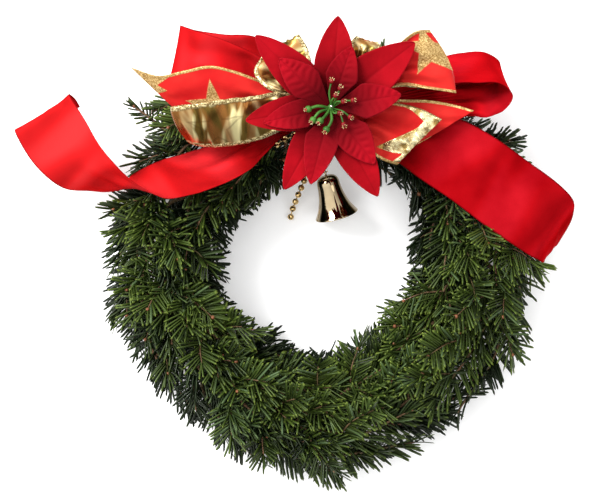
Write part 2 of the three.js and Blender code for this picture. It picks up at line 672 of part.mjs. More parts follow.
// A slim three-sided twig, closed at its foot and pointed at its end. At every whorl each of its
// faces is drawn out into a needle that leans forward.
function sprigSolid({ path, whorls }, owner, random) {
  const curve = new THREE.CatmullRomCurve3(path);
  const length = curve.getLength();
  const firstWhorl = 0.3 * length;
  const pitch = (length - firstWhorl - needleFoot) / (whorls - 1);
  const stations = [{ along: 0, turn: 0 }];
  for (let w = 0; w < whorls; w++) {
    const turn = (w % 2) * (Math.PI / 3) + w * 0.3;
    stations.push({ along: firstWhorl + w * pitch, turn, whorl: w / (whorls - 1) });
    stations.push({ along: firstWhorl + w * pitch + needleFoot, turn });
  }
  const points = [];
  const index = [];
  const frames = stations.map(({ along }) => {
    const part = Math.min(1, along / length);
    const axis = curve.getTangentAt(part);
    const side = new THREE.Vector3().crossVectors(axis, vec(0, 0, 1)).normalize();
    return { axis, side, up: new THREE.Vector3().crossVectors(axis, side), middle: curve.getPointAt(part) };
  });
  stations.forEach(({ along, turn }, s) => {
    const radius = lerp(twigRadii[0], twigRadii[2], along / length);
    for (let j = 0; j < needlesPerWhorl; j++) {
      const corner = turn + (j * 2 * Math.PI) / needlesPerWhorl;
      points.push(around(frames[s].middle, frames[s], corner, radius));
    }
  });
  const at = (s, j) => s * needlesPerWhorl + (j % needlesPerWhorl);
  index.push(at(0, 0), at(0, 2), at(0, 1));
  for (let s = 0; s < stations.length - 1; s++) {
    for (let j = 0; j < needlesPerWhorl; j++) {
      const [a, b, c, d] = [at(s, j), at(s, j + 1), at(s + 1, j + 1), at(s + 1, j)];
      const bare = stations[s].whorl === undefined;
      const tip = bare ? null : growNeedle(stations[s], frames[s], j, owner, random);
      if (!tip) {
        index.push(a, b, c, a, c, d);
        continue;
      }
      const top = points.push(tip) - 1;
      index.push(a, b, top, b, c, top, c, d, top, d, a, top);
    }
  }
  const last = stations.length - 1;
  const end = points.push(endPoint(curve)) - 1;
  for (let j = 0; j < needlesPerWhorl; j++) index.push(at(last, j), at(last, j + 1), end);
  return pointsToSolid(points, index);
}

function growNeedle(station, frame, j, owner, random) {
  const root = frame.middle.clone().addScaledVector(frame.axis, needleFoot / 2);
  const outward = station.turn + ((j + 0.5) * 2 * Math.PI) / needlesPerWhorl;
  const forward = THREE.MathUtils.smoothstep(station.whorl, 0.6, 1.1);
  for (let attempt = 0; attempt < needleTries; attempt++) {
    const lean = lerp(0.95, 0.45, forward) + (random() - 0.5) * 0.3;
    const turn = outward + (random() - 0.5) * 0.9;
    const size = needleLength * lerp(0.86, 1.08, random()) * (attempt > 5 ? 0.7 : 1);
    const tip = needleTip(root, frame, lean, turn, size);
    const reach = Math.hypot(tip.x, tip.y);
    if (tip.z < 0.8 || reach < foliageInnerRadius) continue;
    const [start, middle] = [root.clone().lerp(tip, 0.14), root.clone().lerp(tip, 0.5)];
    const [wide, slim] = [0.5 * needleFoot, 0.27 * needleFoot];
    if (!isClear(start, middle, wide, owner, -1) || !isClear(middle, tip, slim, owner, -1)) continue;
    take(start, middle, wide, owner);
    take(middle, tip, slim, owner);
    return tip;
  }
  return null;
}

function sprayPaths() {
  return sprays.map((spray, k) => {
    const owner = `spray${k}`;
    const foot = ringPoint(spray.angle, spray.way, -stemBundleLength * 0.2, ringRadius, bundleHeight);
    const head = ringPoint(spray.angle, spray.way, stemBundleLength * 0.8, ringRadius, bundleHeight);
    take(foot, head, stemBundleRadius, owner);
    return { ...spray, owner, foot, head, paths: [] };
  });
}

function growSprays() {
  const grown = sprayPaths();
  sprigRoles.forEach((role, j) => {
    grown.forEach((spray, k) => {
      for (let attempt = 0; attempt < sprigTries; attempt++) {
        const random = makeRandom(7919 * (k + 1) + 104729 * (j + 1) + 1299709 * attempt);
        random();
        const stray = straySprigs[`${k}-${j}`];
        const path = sprigPath(spray, role, stray, 1 + attempt / 50, random);
        if (!sprigIsClear(path, spray.owner)) continue;
        for (const [from, to] of stretchesOf(path)) take(from, to, twigRadii[0] + 0.2, spray.owner);
        spray.paths.push({ path, whorls: role.whorls });
        return;
      }
      console.warn(`no clear way for sprig ${j} of spray ${k}`);
    });
  });
  return grown;
}

function spraySolids() {
  return growSprays().map((spray, k) => {
    const random = makeRandom(needleSeed + 977 * k + (needleSeedShift[k] ?? 0));
    const bundle = bar(spray.foot, spray.head, stemBundleRadius, stemBundleRadius * 0.8, 6);
    return unite([bundle, ...spray.paths.map((sprig) => sprigSolid(sprig, spray.owner, random))]);
  });
}

// Assembly
const wreath = new THREE.Group();

function add(name, geometry, finish) {
  const mesh = new THREE.Mesh(geometry, new THREE.MeshStandardMaterial(finish));
  mesh.name = name;
  wreath.add(mesh);
}

const wireRoute = wirePoints();
const ringSolid = toSolid(new THREE.LatheGeometry(ringProfile(), ringSegments).rotateX(Math.PI / 2));
const straw = { color: 0xb89b5e, roughness: 0.95, metalness: 0 };
add('straw_ring', toGeometry(largestBody(ringSolid.subtract(wireSlots(wireRoute)))), straw);
const greenWire = { color: 0x2f5a35, roughness: 0.4, metalness: 0.8 };
add('binding_wire', toGeometry(toSolid(loopGeometry(wireRoute, wireRadius, 3))), greenWire);
takeLine([...wireRoute, wireRoute[0]], wireRadius + 0.1, 'wire');

for (const [name, { rows, finish }] of Object.entries(ribbons)) {
  add(name, sheetGeometry(ribbonGrid(rows, 2, 2), ribbonThickness), finish);
  for (const line of ribbonGrid(rows, 5, 14)) {
    for (const point of line) take(point, point.clone().add(vec(0, 0, 0.1)), 2.4, name);
  }
}

const silkRed = { color: 0xb01226, roughness: 0.7, metalness: 0 };
add('poinsettia_outer_bracts', toGeometry(bractLayer(outerBracts, 0, 6)), silkRed);
add('poinsettia_inner_bracts', toGeometry(bractLayer(innerBracts, 6.5, 4)), silkRed);
add('poinsettia_stamens', toGeometry(stamens()), { color: 0x3f7d2c, roughness: 0.5, metalness: 0 });
add('centre_pin', toGeometry(pin()), { color: 0xb9b6ad, roughness: 0.3, metalness: 1 });

const shinyGold = { color: 0xb08a4a, roughness: 0.15, metalness: 1 };
add('bell', toGeometry(bell()), shinyGold);
add('bell_wire', toGeometry(tube(bellWirePoints, 0.6, 5, 14)), shinyGold);
add('bead_chain', toGeometry(beads(chainPoints)), shinyGold);
add('bead_strand', toGeometry(beads(strandPoints)), shinyGold);
add('bow_tie', toGeometry(tiePost()), { color: 0x8d8a80, roughness: 0.4, metalness: 0.9 });
take(bellCrown, bellCrown.clone().addScaledVector(bellAxis, bellLength), bellMouthRadius, 'bell');
takeLine(bellWirePoints, 1, 'bell');
takeLine(chainPoints, beadRadius + 0.3, 'beads');
takeLine(strandPoints, beadRadius + 0.3, 'beads');
take(vec(tieX, tieY, ringTop), vec(tieX, tieY, flowerZ), tieRadius, 'tie');

const firGreen = { color: 0x23451f, roughness: 0.6, metalness: 0 };
spraySolids().forEach((solid, k) => {
  add(`fir_spray_${String(k + 1).padStart(2, '0')}`, toGeometry(solid), firGreen);
});

// The origin is under the middle of the wreath's box, on the surface it lies on
const box = new THREE.Box3().setFromObject(wreath);
wreath.position.set(-(box.min.x + box.max.x) / 2, -(box.min.y + box.max.y) / 2, -box.min.z);

export default wreath;
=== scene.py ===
# Fresh evergreen wreath lying on its back, with a two-ribbon bow, a silk poinsettia, a bell and beads
import math

import bmesh
import bpy
import numpy as np
from mathutils import Matrix, Vector, noise
from mathutils.bvhtree import BVHTree


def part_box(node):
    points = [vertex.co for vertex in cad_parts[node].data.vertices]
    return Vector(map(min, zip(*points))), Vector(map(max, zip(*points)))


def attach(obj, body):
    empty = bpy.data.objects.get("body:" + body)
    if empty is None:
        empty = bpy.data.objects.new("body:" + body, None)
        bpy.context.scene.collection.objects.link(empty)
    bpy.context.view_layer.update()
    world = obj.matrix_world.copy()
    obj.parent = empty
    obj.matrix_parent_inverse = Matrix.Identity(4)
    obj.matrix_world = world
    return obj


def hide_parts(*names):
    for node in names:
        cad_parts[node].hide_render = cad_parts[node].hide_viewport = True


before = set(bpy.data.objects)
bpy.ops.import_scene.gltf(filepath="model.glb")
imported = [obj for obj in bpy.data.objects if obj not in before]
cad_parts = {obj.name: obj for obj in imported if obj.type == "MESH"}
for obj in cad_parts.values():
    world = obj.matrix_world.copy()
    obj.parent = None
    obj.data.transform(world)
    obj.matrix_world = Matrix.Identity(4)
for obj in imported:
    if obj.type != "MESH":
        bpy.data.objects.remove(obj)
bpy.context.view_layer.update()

scene = bpy.context.scene
mm = 0.001
ringLow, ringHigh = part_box("straw_ring")
ringPlace = Vector(((ringLow.x + ringHigh.x) / 2, (ringLow.y + ringHigh.y) / 2, 0))

# Lengths below are in millimetres, seen from the ring's centre on the surface that the wreath lies on
ring = {"radius": 132.5, "halfWidth": 17.5, "halfHeight": 21.5, "middle": 13.0}
ringTop = ring["middle"] + ring["halfHeight"]
flowerMiddle = Vector((6.5, 133, 114))
touchGap = 0.3


def toRow(points):  # millimetres from the ring's centre to metres in the row
    return np.asarray(points, float) * mm + np.array(ringPlace)


def rowVector(point):
    return Vector(toRow(point))


def noiseAt(*place):
    return noise.noise(Vector(place))


def unit(rows):  # each row with a length of one
    return rows / np.maximum(np.linalg.norm(rows, axis=-1, keepdims=True), 1e-6)


def smoothStep(x, low, high):
    t = min(1.0, max(0.0, (x - low) / (high - low)))
    return t * t * (3 - 2 * t)


# Helpers for objects, meshes and nodes
def addObject(name, data):
    made = bpy.data.objects.new(name, data)
    scene.collection.objects.link(made)
    return made


def meshFrom(bm, name, smooth=True):
    mesh = bpy.data.meshes.new(name)
    bm.to_mesh(mesh)
    bm.free()
    if smooth:
        mesh.shade_smooth()
    return mesh


def newMaterial(name):
    material = bpy.data.materials.new(name)
    material.use_nodes = True
    return material, material.node_tree


def feed(socket, value):  # links a node's value, or sets a plain one
    if isinstance(value, bpy.types.NodeSocket):
        socket.id_data.links.new(value, socket)
    else:
        socket.default_value = value


def setInputs(node, **values):  # an input's name has "_" for a space
    for key, value in values.items():
        feed(node.inputs[key.replace("_", " ")], value)


def put(tree, kind, **values):  # a new node: a capital starts an input's name, a small letter a setting's
    node = tree.nodes.new(kind)
    for key in [key for key in values if key[0].islower()]:
        setattr(node, key, values.pop(key))
    setInputs(node, **values)
    return node


def calc(operation, *values):
    tree = next(value.id_data for value in values if isinstance(value, bpy.types.NodeSocket))
    node = put(tree, "ShaderNodeMath", operation=operation)
    for socket, value in zip(node.inputs, values):
        feed(socket, value)
    return node.outputs[0]


def plus(first, second):
    return calc("ADD", first, second)


def minus(first, second):
    return calc("SUBTRACT", first, second)


def times(first, *others):
    for other in others:
        first = calc("MULTIPLY", first, other)
    return first


def mix(factor, first, second, mode="MIX"):  # colours
    node = put(factor.id_data, "ShaderNodeMix", data_type="RGBA", blend_type=mode)
    for place, value in ((0, factor), (6, first), (7, second)):
        feed(node.inputs[place], (*value, 1) if isinstance(value, tuple) else value)
    return node.outputs[2]


def remap(value, fromLow, fromHigh, toLow=0, toHigh=1):
    return put(value.id_data, "ShaderNodeMapRange", Value=value, From_Min=fromLow, From_Max=fromHigh, To_Min=toLow,
               To_Max=toHigh).outputs[0]


def attributes(tree, *names):  # values that the piece's own mesh carries
    return [put(tree, "ShaderNodeAttribute", attribute_name=name).outputs["Fac"] for name in names]


def objectPlace(tree):
    return put(tree, "ShaderNodeTexCoord").outputs["Object"]


def objectNoise(tree, scale, detail=3, rough=0.5):
    return put(tree, "ShaderNodeTexNoise", Vector=objectPlace(tree), Scale=scale, Detail=detail,
               Roughness=rough).outputs["Fac"]


def clothNoise(x, y, scale, detail, distortion):  # follows the cloth along and across
    tree = x.id_data
    place = put(tree, "ShaderNodeCombineXYZ", X=x, Y=y).outputs[0]
    return put(tree, "ShaderNodeTexNoise", Vector=place, Scale=scale, Detail=detail,
               Distortion=distortion).outputs["Fac"]


def finish(material, bump=None, **values):  # bump: height, strength, distance
    tree = material.node_tree
    shader = tree.nodes["Principled BSDF"]
    setInputs(shader, **values)
    if bump:
        height, strength, distance = bump
        bumped = put(tree, "ShaderNodeBump", Height=height, Strength=strength, Distance=distance)
        setInputs(shader, Normal=bumped.outputs[0])
    return material


# Camera, floor and light
studio = {"cameraPlace": (-19.4, 14.5, 1640), "viewWidth": 528, "viewHeight": 40, "sensor": 36,
          "floorSize": 6.0, "skyDark": 0.4, "skyBright": 2.1, "windowSide": (-0.5, 0.42, 0.76),
          "lights": {"window": ((-2.5, 1.9, 3.1), 2.0, 235), "fill": ((2.4, -1.2, 3.0), 2.4, 26)},  # place, size, power
          "floorGlow": 0.2}


def makeCamera():
    camera = bpy.data.cameras.new("camera")
    camera.sensor_width = studio["sensor"]
    reach = studio["cameraPlace"][2] - studio["viewHeight"]
    camera.lens = studio["sensor"] * reach / studio["viewWidth"]
    camera.clip_start, camera.clip_end = 0.05, 20
    scene.camera = addObject("camera", camera)
    scene.camera.location = rowVector(studio["cameraPlace"])


def makeLight(name, place, size, power):
    light = bpy.data.lights.new(name, "AREA")
    light.shape, light.size, light.energy = "DISK", size, power
    made = addObject(name, light)
    made.location = place
    made.rotation_euler = (Vector((0, 0, 0.05)) - Vector(place)).to_track_quat("-Z", "Y").to_euler()


def makeSky():  # brighter towards the window
    scene.world = bpy.data.worlds.new("studio")
    scene.world.use_nodes = True
    tree = scene.world.node_tree
    place = put(tree, "ShaderNodeTexCoord").outputs["Generated"]
    toWindow = put(tree, "ShaderNodeVectorMath", operation="DOT_PRODUCT", Vector=place)
    toWindow.inputs[1].default_value = studio["windowSide"]
    sky = put(tree, "ShaderNodeMapRange", interpolation_type="SMOOTHSTEP", Value=toWindow.outputs["Value"],
              From_Min=-0.1, From_Max=1.0, To_Min=studio["skyDark"], To_Max=studio["skyBright"])
    setInputs(tree.nodes["Background"], Color=(1, 1, 1, 1), Strength=sky.outputs[0])


def makeFloor():
    bm = bmesh.new()
    bmesh.ops.create_grid(bm, x_segments=2, y_segments=2, size=studio["floorSize"] / 2)
    floor = addObject("floor", meshFrom(bm, "floor", smooth=False))
    paint, tree = newMaterial("floor_paint")
    grain = put(tree, "ShaderNodeTexNoise", Scale=30).outputs["Fac"]
    finish(paint, Base_Color=(0.9, 0.9, 0.9, 1), Roughness=remap(grain, 0, 1, 0.55, 0.65), Specular_IOR_Level=0.2,
           Emission_Color=(1, 1, 1, 1), Emission_Strength=studio["floorGlow"])
    floor.data.materials.append(paint)


scene.view_settings.view_transform = "Standard"
makeCamera()
makeSky()
for lightName, look in studio["lights"].items():
    makeLight(lightName, *look)
makeFloor()
print("studio ready")


# Curves
def curvePoint(points, t):  # a centripetal curve through the points, t from 0 to 1
    last = len(points) - 1
    place = last * min(1.0, max(0.0, t))
    i = min(int(place), last - 1)
    w = place - i
    p1, p2 = points[i], points[i + 1]
    p0 = points[i - 1] if i else 2 * p1 - p2
    p3 = points[i + 2] if i + 2 <= last else 2 * p2 - p1
    gaps = [math.sqrt(np.linalg.norm(b - a)) for a, b in ((p0, p1), (p1, p2), (p2, p3))]
    middle = gaps[1] or 1.0
    before, after = gaps[0] or middle, gaps[2] or middle
    start = ((p1 - p0) / before - (p2 - p0) / (before + middle) + (p2 - p1) / middle) * middle
    end = ((p2 - p1) / middle - (p3 - p1) / (middle + after) + (p3 - p2) / after) * middle
    return p1 + start * w + (-3 * p1 + 3 * p2 - 2 * start - end) * w ** 2 + (2 * p1 - 2 * p2 + start + end) * w ** 3


def curvePoints(points, steps):
    points = [np.array(p, float) for p in points]
    return np.array([curvePoint(points, i / steps) for i in range(steps + 1)])


def wireMesh(name, routes, closed=False, sides=8):  # round wires: each route is (points in millimetres, radii)
    line = bpy.data.curves.new(name, "CURVE")
    line.dimensions = "3D"
    line.bevel_depth = mm
    line.bevel_resolution = max(0, sides // 4 - 1)
    line.use_fill_caps = True
    for points, radii in routes:
        spline = line.splines.new("POLY")
        spline.points.add(len(points) - 1)
        rows = np.ones((len(points), 4))
        rows[:, :3] = toRow(points)
        spline.points.foreach_set("co", rows.ravel())
        spline.points.foreach_set("radius", np.broadcast_to(np.asarray(radii, float), (len(points),)).copy())
        spline.use_cyclic_u = closed
        spline.use_smooth = True
    holder = addObject(name, line)
    mesh = bpy.data.meshes.new_from_object(holder.evaluated_get(bpy.context.evaluated_depsgraph_get()))
    bpy.data.objects.remove(holder)
    bpy.data.curves.remove(line)
    return mesh


def newPiece(name, mesh, slot, node, *materials):
    mesh.name = name
    piece = addObject(name, mesh)
    for material in materials:
        piece.data.materials.append(material)
    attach(piece, "root")
    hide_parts(node)
    return piece


def thicken(piece, thickness, otherFace=0):  # otherFace: how far on in the list its back's material is
    skin = piece.modifiers.new("thickness", "SOLIDIFY")
    skin.thickness = thickness * mm
    skin.offset = 0
    skin.material_offset = otherFace


def joinMeshes(parts, smooth=False):  # (mesh, material number) pairs as one mesh
    bm = bmesh.new()
    for mesh, number in parts:
        before = len(bm.faces)
        bm.from_mesh(mesh)
        bm.faces.ensure_lookup_table()
        for face in bm.faces[before:]:
            face.material_index = number
    return meshFrom(bm, "joined", smooth)


def lengthsAlong(points):
    return np.concatenate([[0], np.cumsum(np.linalg.norm(np.diff(points, axis=0), axis=1))])


def resample(points, at):  # where the line is at those lengths
    along = lengthsAlong(points)
    return np.stack([np.interp(at, along, points[:, k]) for k in range(3)], axis=1)


# Ribbons: each row holds the two edges at one station, x y z of one and of the other, from the tie outwards
redLeftTail = [
    (1.5, 135, 64, 1.5, 123, 66), (-32, 131, 62, -27, 116, 80), (-67, 121, 60, -47, 96, 90),
    (-98, 106, 60, -64, 80, 96), (-123, 97.6, 57, -90, 67.5, 98), (-143.7, 91, 53, -112.6, 60.7, 100),
    (-166, 79.7, 50, -133.7, 58.1, 101), (-183, 65.2, 50, -152.4, 67, 100), (-204.6, 65.2, 52, -174.2, 84.6, 94),
    (-226, 68.1, 54, -189.3, 101.6, 88), (-251, 89, 56, -205, 127, 78), (-267, 117, 62, -218, 148, 75),
    (-265, 119, 50, -214, 145, 63), (-259, 113, 43, -211, 139, 56),
]
redRightTail = [
    (12.5, 135, 60, 12.5, 123, 60), (50, 133, 72, 40, 104, 72), (90, 132, 80, 62, 91, 80), (118, 126, 84, 82, 76, 84),
    (146, 111, 85, 110, 57, 85), (173, 92, 83, 139, 35, 84), (203, 70.5, 79, 164, 18, 82),
    (216.5, 57.5, 70, 180, 8, 78), (219.5, 46, 50, 187, 5, 72), (217, 33, 30, 190, 3, 66), (212, 21, 16, 191, 2, 60),
]
redLeftLoop = [
    (1.5, 140, 72, 1.5, 128, 71), (-54, 196, 76, -46, 138, 72), (-86, 200, 74, -87, 138, 70),
    (-111, 204, 73, -115, 141, 69), (-122, 207, 80, -136, 144, 76), (-107, 201, 88, -116, 140, 84),
    (-81, 192, 90, -86, 134, 86), (-52, 178, 88, -55, 130, 84), (1.5, 139, 80, 1.5, 127, 79),
]
redRightLoop = [
    (12.5, 140, 78, 12.5, 130, 80), (54, 165, 60, 59, 147, 86), (94, 180, 50, 98, 156, 94),
    (125, 187, 46, 128, 156, 99), (144, 187, 46, 150, 155, 100), (156, 178, 46, 161, 145, 99),
    (153, 171, 46, 155, 134, 98), (137, 165, 62, 141, 128, 97), (112, 160, 78, 116, 128, 95),
    (72, 150, 83, 79, 131, 88), (12.5, 138, 67, 12.5, 127, 70),
]
goldLeftTail = [
    (1.5, 140, 86, 1.5, 130, 85), (-30, 150, 94, -26, 123, 86), (-57, 159, 100, -52, 118, 84),
    (-77, 166, 102, -71, 117, 83), (-96, 170, 101, -88, 118, 82), (-118, 166, 98, -102, 121, 81),
    (-140, 162, 97, -110, 123, 80), (-163, 169, 98, -117, 126, 79),
]
goldLeftLoop = [
    (1.5, 136, 103, 1.5, 127, 102), (-33, 147, 111, -30, 117, 103), (-57, 143, 117, -55, 107, 100),
    (-84, 140, 119, -81, 102, 98), (-109, 136, 118, -102, 102, 96), (-128, 134, 113, -115, 106, 93),
    (-112, 137, 108, -103, 109, 89), (-85, 140, 107, -81, 110, 89), (-55, 142, 105, -52, 115, 91),
    (1.5, 136, 95, 1.5, 126, 94),
]
goldTopLeftLoop = [
    (2.4, 135.6, 109, 6.6, 135.6, 109), (-26, 143, 112, -4, 153, 110), (-48, 150, 112, -9, 169, 111),
    (-58, 164, 110, -13, 184, 110), (-50, 179, 106, -20, 195, 106), (-56, 167, 102, -15, 185, 101),
    (-46, 153, 103, -10, 169, 101), (2.4, 135.6, 99.5, 6.6, 135.6, 99.5),
]
goldTopRightLoop = [
    (7.6, 135.6, 107, 11.6, 135.6, 107), (14, 157, 106, 31, 150, 106), (19, 175, 107, 43, 165, 107),
    (23, 189, 106, 51, 179, 106), (28, 195, 102, 47, 190, 102), (23, 186, 97, 50, 177, 97), (16, 163, 98, 37, 158, 98),
    (7.6, 135.6, 100, 11.6, 135.6, 100),
]
goldRightUpperLoop = [
    (12.5, 134, 109, 12.5, 128, 108), (41, 160, 113, 44, 144, 112), (62, 185, 116, 66, 152, 116),
    (77, 197, 117, 89, 149, 117), (90, 199, 111, 112, 146, 111), (80, 196, 104, 97, 149, 104),
    (63, 183, 103, 68, 152, 103), (40, 160, 104, 43, 146, 104), (12.5, 134, 104, 12.5, 128, 104),
]
goldRightTail = [
    (12.5, 135, 86, 12.5, 124, 86), (36, 143, 90, 33, 118, 88), (65, 142, 93, 55, 103, 88), (90, 141, 97, 70, 101, 90),
    (112, 137, 99, 80, 104, 91), (128, 132, 101, 91, 110, 92),
]
goldRightLowerLoop = [
    (12.5, 131, 100, 12.5, 122, 100), (36, 139, 105, 29, 108, 104), (61, 138, 110, 46, 92, 108),
    (81, 133, 112, 54, 88, 109), (100, 124, 108, 63, 86, 105), (85, 129, 102, 56, 90, 98), (61, 134, 99, 46, 97, 95),
    (35, 136, 97, 30, 110, 94), (12.5, 132, 94, 12.5, 122, 93),
]
tieHold = (4, 30)  # how far from the tie a ribbon starts to be free, and is wholly free
ribbonCut = {"satin": 63, "starCloth": 58, "columns": 36, "perRow": 12, "thickness": 0.35, "edgeStripe": 2.6,
             "starRadius": 25.0, "starPitch": 62.0, "starDrop": 9.0, "starInner": 0.4, "bulge": 9,
             "sharpFolds": 15}  # creases shorter than that are sharp
gathers = {"fine": 8, "fewer": 0.4, "broad": 2.5, "fineFrom": 0.66, "fineTo": 0.4}  # folds across, and where fine
goldPair = ("lame_gold", "star_red")
starPair = ("star_red", "lame_gold")
satinPair = ("satin_red", "satin_red")
ribbons = {  # rows, finishes of both faces, cut width and length, crown, crease height and length, star offset, gather
    "red_ribbon_left_tail": (redLeftTail, satinPair, "satin", 315, 1.2, 0.9, 40, 0, 0.3),
    "red_ribbon_right_tail": (redRightTail, satinPair, "satin", 260, 1.5, 1.5, 42, 0, 0.3),
    "red_ribbon_left_loop": (redLeftLoop, satinPair, "satin", 285, 1.2, 1.0, 30, 0, 0.3),
    "red_ribbon_right_loop": (redRightLoop, satinPair, "satin", 315, 1.2, 0.9, 30, 0, 0.3),
    "gold_ribbon_left_tail": (goldLeftTail, starPair, "starCloth", 145, 1.0, 0.8, 30, -3, 0.35),
    "gold_ribbon_left_loop": (goldLeftLoop, goldPair, "starCloth", 250, 3.0, 2.4, 14, 0, 0),
    "gold_ribbon_top_left_loop": (goldTopLeftLoop, goldPair, "starCloth", 150, 0.5, 2.2, 11, 0, 0.35),
    "gold_ribbon_top_right_loop": (goldTopRightLoop, goldPair, "starCloth", 130, 0.5, 1.6, 13, 0, 0.3),
    "gold_ribbon_right_upper_loop": (goldRightUpperLoop, starPair, "starCloth", 205, 0.8, 1.4, 18, 63, 0.8),
    "gold_ribbon_right_tail": (goldRightTail, starPair, "starCloth", 100, 0.8, 0.8, 25, 10, 0.7),
    "gold_ribbon_right_lower_loop": (goldRightLowerLoop, starPair, "starCloth", 150, 0.8, 0.9, 20, 12, 0.7),
}


def newGroup(name, inputs, output):  # a node group of plain numbers
    group = bpy.data.node_groups.new(name, "ShaderNodeTree")
    for label in inputs:
        group.interface.new_socket(label, in_out="INPUT", socket_type="NodeSocketFloat")
    group.interface.new_socket(output, in_out="OUTPUT", socket_type="NodeSocketFloat")
    return group, group.nodes.new("NodeGroupInput").outputs, group.nodes.new("NodeGroupOutput").inputs[output]


def placeGroup(tree, group, **values):
    return put(tree, "ShaderNodeGroup", node_tree=group, **values).outputs[0]


def starGroup():  # 1 inside a five-pointed star, 0 outside
    group, given, result = newGroup("star_mask", ("X", "Y", "Radius"), "Mask")
    fifth = 2 * math.pi / 5
    angle = calc("ARCTAN2", given["Y"], given["X"])
    squares = plus(times(given["X"], given["X"]), times(given["Y"], given["Y"]))
    distance = calc("DIVIDE", calc("SQRT", squares), given["Radius"])
    turned = calc("MODULO", plus(angle, fifth * 10.5), fifth)
    folded = calc("ABSOLUTE", minus(turned, fifth / 2))
    x, y = (times(distance, calc(wave, folded)) for wave in ("COSINE", "SINE"))
    cornerX, cornerY = (ribbonCut["starInner"] * wave(fifth / 2) for wave in (math.cos, math.sin))
    side = minus(times(minus(x, 1.0), cornerY), times(y, cornerX - 1))
    feed(result, remap(side, 0.012, -0.012))
    return group


def glitterGroup():  # a speckled brightness for glitter, cell by cell
    group, given, result = newGroup("glitter_speckle", ("Scale",), "Speckle")
    cells = put(group, "ShaderNodeTexVoronoi", Vector=objectPlace(group), Scale=given["Scale"])
    feed(result, put(group, "ShaderNodeSeparateColor", Color=cells.outputs["Color"]).outputs[0])
    return group


starMask = starGroup()
glitterSpeckle = glitterGroup()


def satinMaterial():
    material, tree = newMaterial("satin_red")
    along, across = attributes(tree, "along", "across")
    edge = remap(calc("ABSOLUTE", across), 0.955, 0.985)
    # tone that differs at random, widened in part to stand in for the satin's sheen: partly painted sheen
    red = mix(remap(objectNoise(tree, 22), 0.35, 0.65), (0.24, 0.0012, 0.003), (0.34, 0.003, 0.006))
    windowSideX = put(tree, "ShaderNodeSeparateXYZ", Vector=objectPlace(tree)).outputs["X"]
    red = mix(remap(windowSideX, 0.03, -0.19, 0, 0.85), red, (0.5, 0.012, 0.013))  # painted light: the satin is brighter on the left side, towards the window light
    # painted sheen: bands painted lighter and darker along the satin stand in for its highlights
    paintedSheen = clothNoise(times(along, 0.02), times(across, 0.22), 1.6, 0.0, 0.5)
    red = mix(remap(paintedSheen, 0.5, 0.3), red, (0.68, 0.6, 0.6), "MULTIPLY")
    red = mix(remap(paintedSheen, 0.5, 0.7), red, (1.18, 2.2, 2.1), "MULTIPLY")
    red = mix(remap(along, 100, 25), red, (0.55, 0.45, 0.45), "MULTIPLY")  # painted shade: darker by the tie, where the loops above shade the cloth
    red = mix(times(edge, 0.5), red, (0.1, 0.001, 0.002))
    thread = plus(times(calc("SINE", times(along, 14.0)), 0.35), objectNoise(tree, 2200, 2))
    return finish(material, (plus(thread, times(edge, 1.2)), 0.18, 0.0002), Base_Color=red, Roughness=0.42,
                  Metallic=0.3, Specular_IOR_Level=0.0, Specular_Tint=(1, 0.1, 0.1, 1))


def onStarPitch(along):  # how far along its own star's field a point lies
    return calc("MODULO", plus(along, 10.0 * ribbonCut["starPitch"]), ribbonCut["starPitch"])


def starMaterial():
    material, tree = newMaterial("star_red")
    along, across, half, foil, stars, shine = attributes(tree, "along", "across", "halfWidth", "foil", "stars", "shine")
    pitch, drop = ribbonCut["starPitch"], ribbonCut["starDrop"]
    turnOf = calc("MODULO", calc("FLOOR", calc("DIVIDE", plus(along, 10.0 * pitch), pitch)), 2.0)
    level = plus(times(across, half, -1), remap(turnOf, 0, 1, -drop, drop))
    place = minus(onStarPitch(along), pitch / 2)
    star = times(stars, placeGroup(tree, starMask, X=level, Y=place, Radius=ribbonCut["starRadius"]))
    inside = minus(half, times(calc("ABSOLUTE", across), half))
    stripe = remap(inside, ribbonCut["edgeStripe"], ribbonCut["edgeStripe"] - 0.4)
    patch = remap(foil, -0.2, 0.2)
    gold = calc("MAXIMUM", calc("MAXIMUM", star, stripe), patch)
    shiny = times(patch, shine)
    crumple = objectNoise(tree, 130, 2)
    speckle = placeGroup(tree, glitterSpeckle, Scale=1500.0)
    cloth = mix(remap(objectNoise(tree, 30), 0.3, 0.7), (0.425, 0.009, 0.0105), (0.56, 0.026, 0.021))
    glitter = mix(calc("POWER", speckle, 1.6), (0.26, 0.14, 0.035), (0.8, 0.58, 0.26))
    # painted reflections: the shiny foil's colour runs from brown to pale gold with the crumple noise, standing in for
    # its glints
    metal = mix(remap(crumple, 0.4, 0.6), (0.3, 0.19, 0.05), (0.95, 0.86, 0.5))
    glint = mix(times(shiny, 0.8), glitter, metal)
    weave = times(calc("SINE", times(along, 12.0)), 0.12)
    rough = plus(times(speckle, gold, 1.6), times(crumple, shiny, 9.0))
    return finish(material, (plus(weave, rough), 0.4, 0.0004), Base_Color=mix(gold, cloth, glint),
                  Metallic=plus(times(gold, 0.5), times(shiny, 0.45)), Roughness=remap(shiny, 0, 1, 0.42, 0.2),
                  Specular_IOR_Level=0.08, Specular_Tint=(1, 0.4, 0.3, 1))


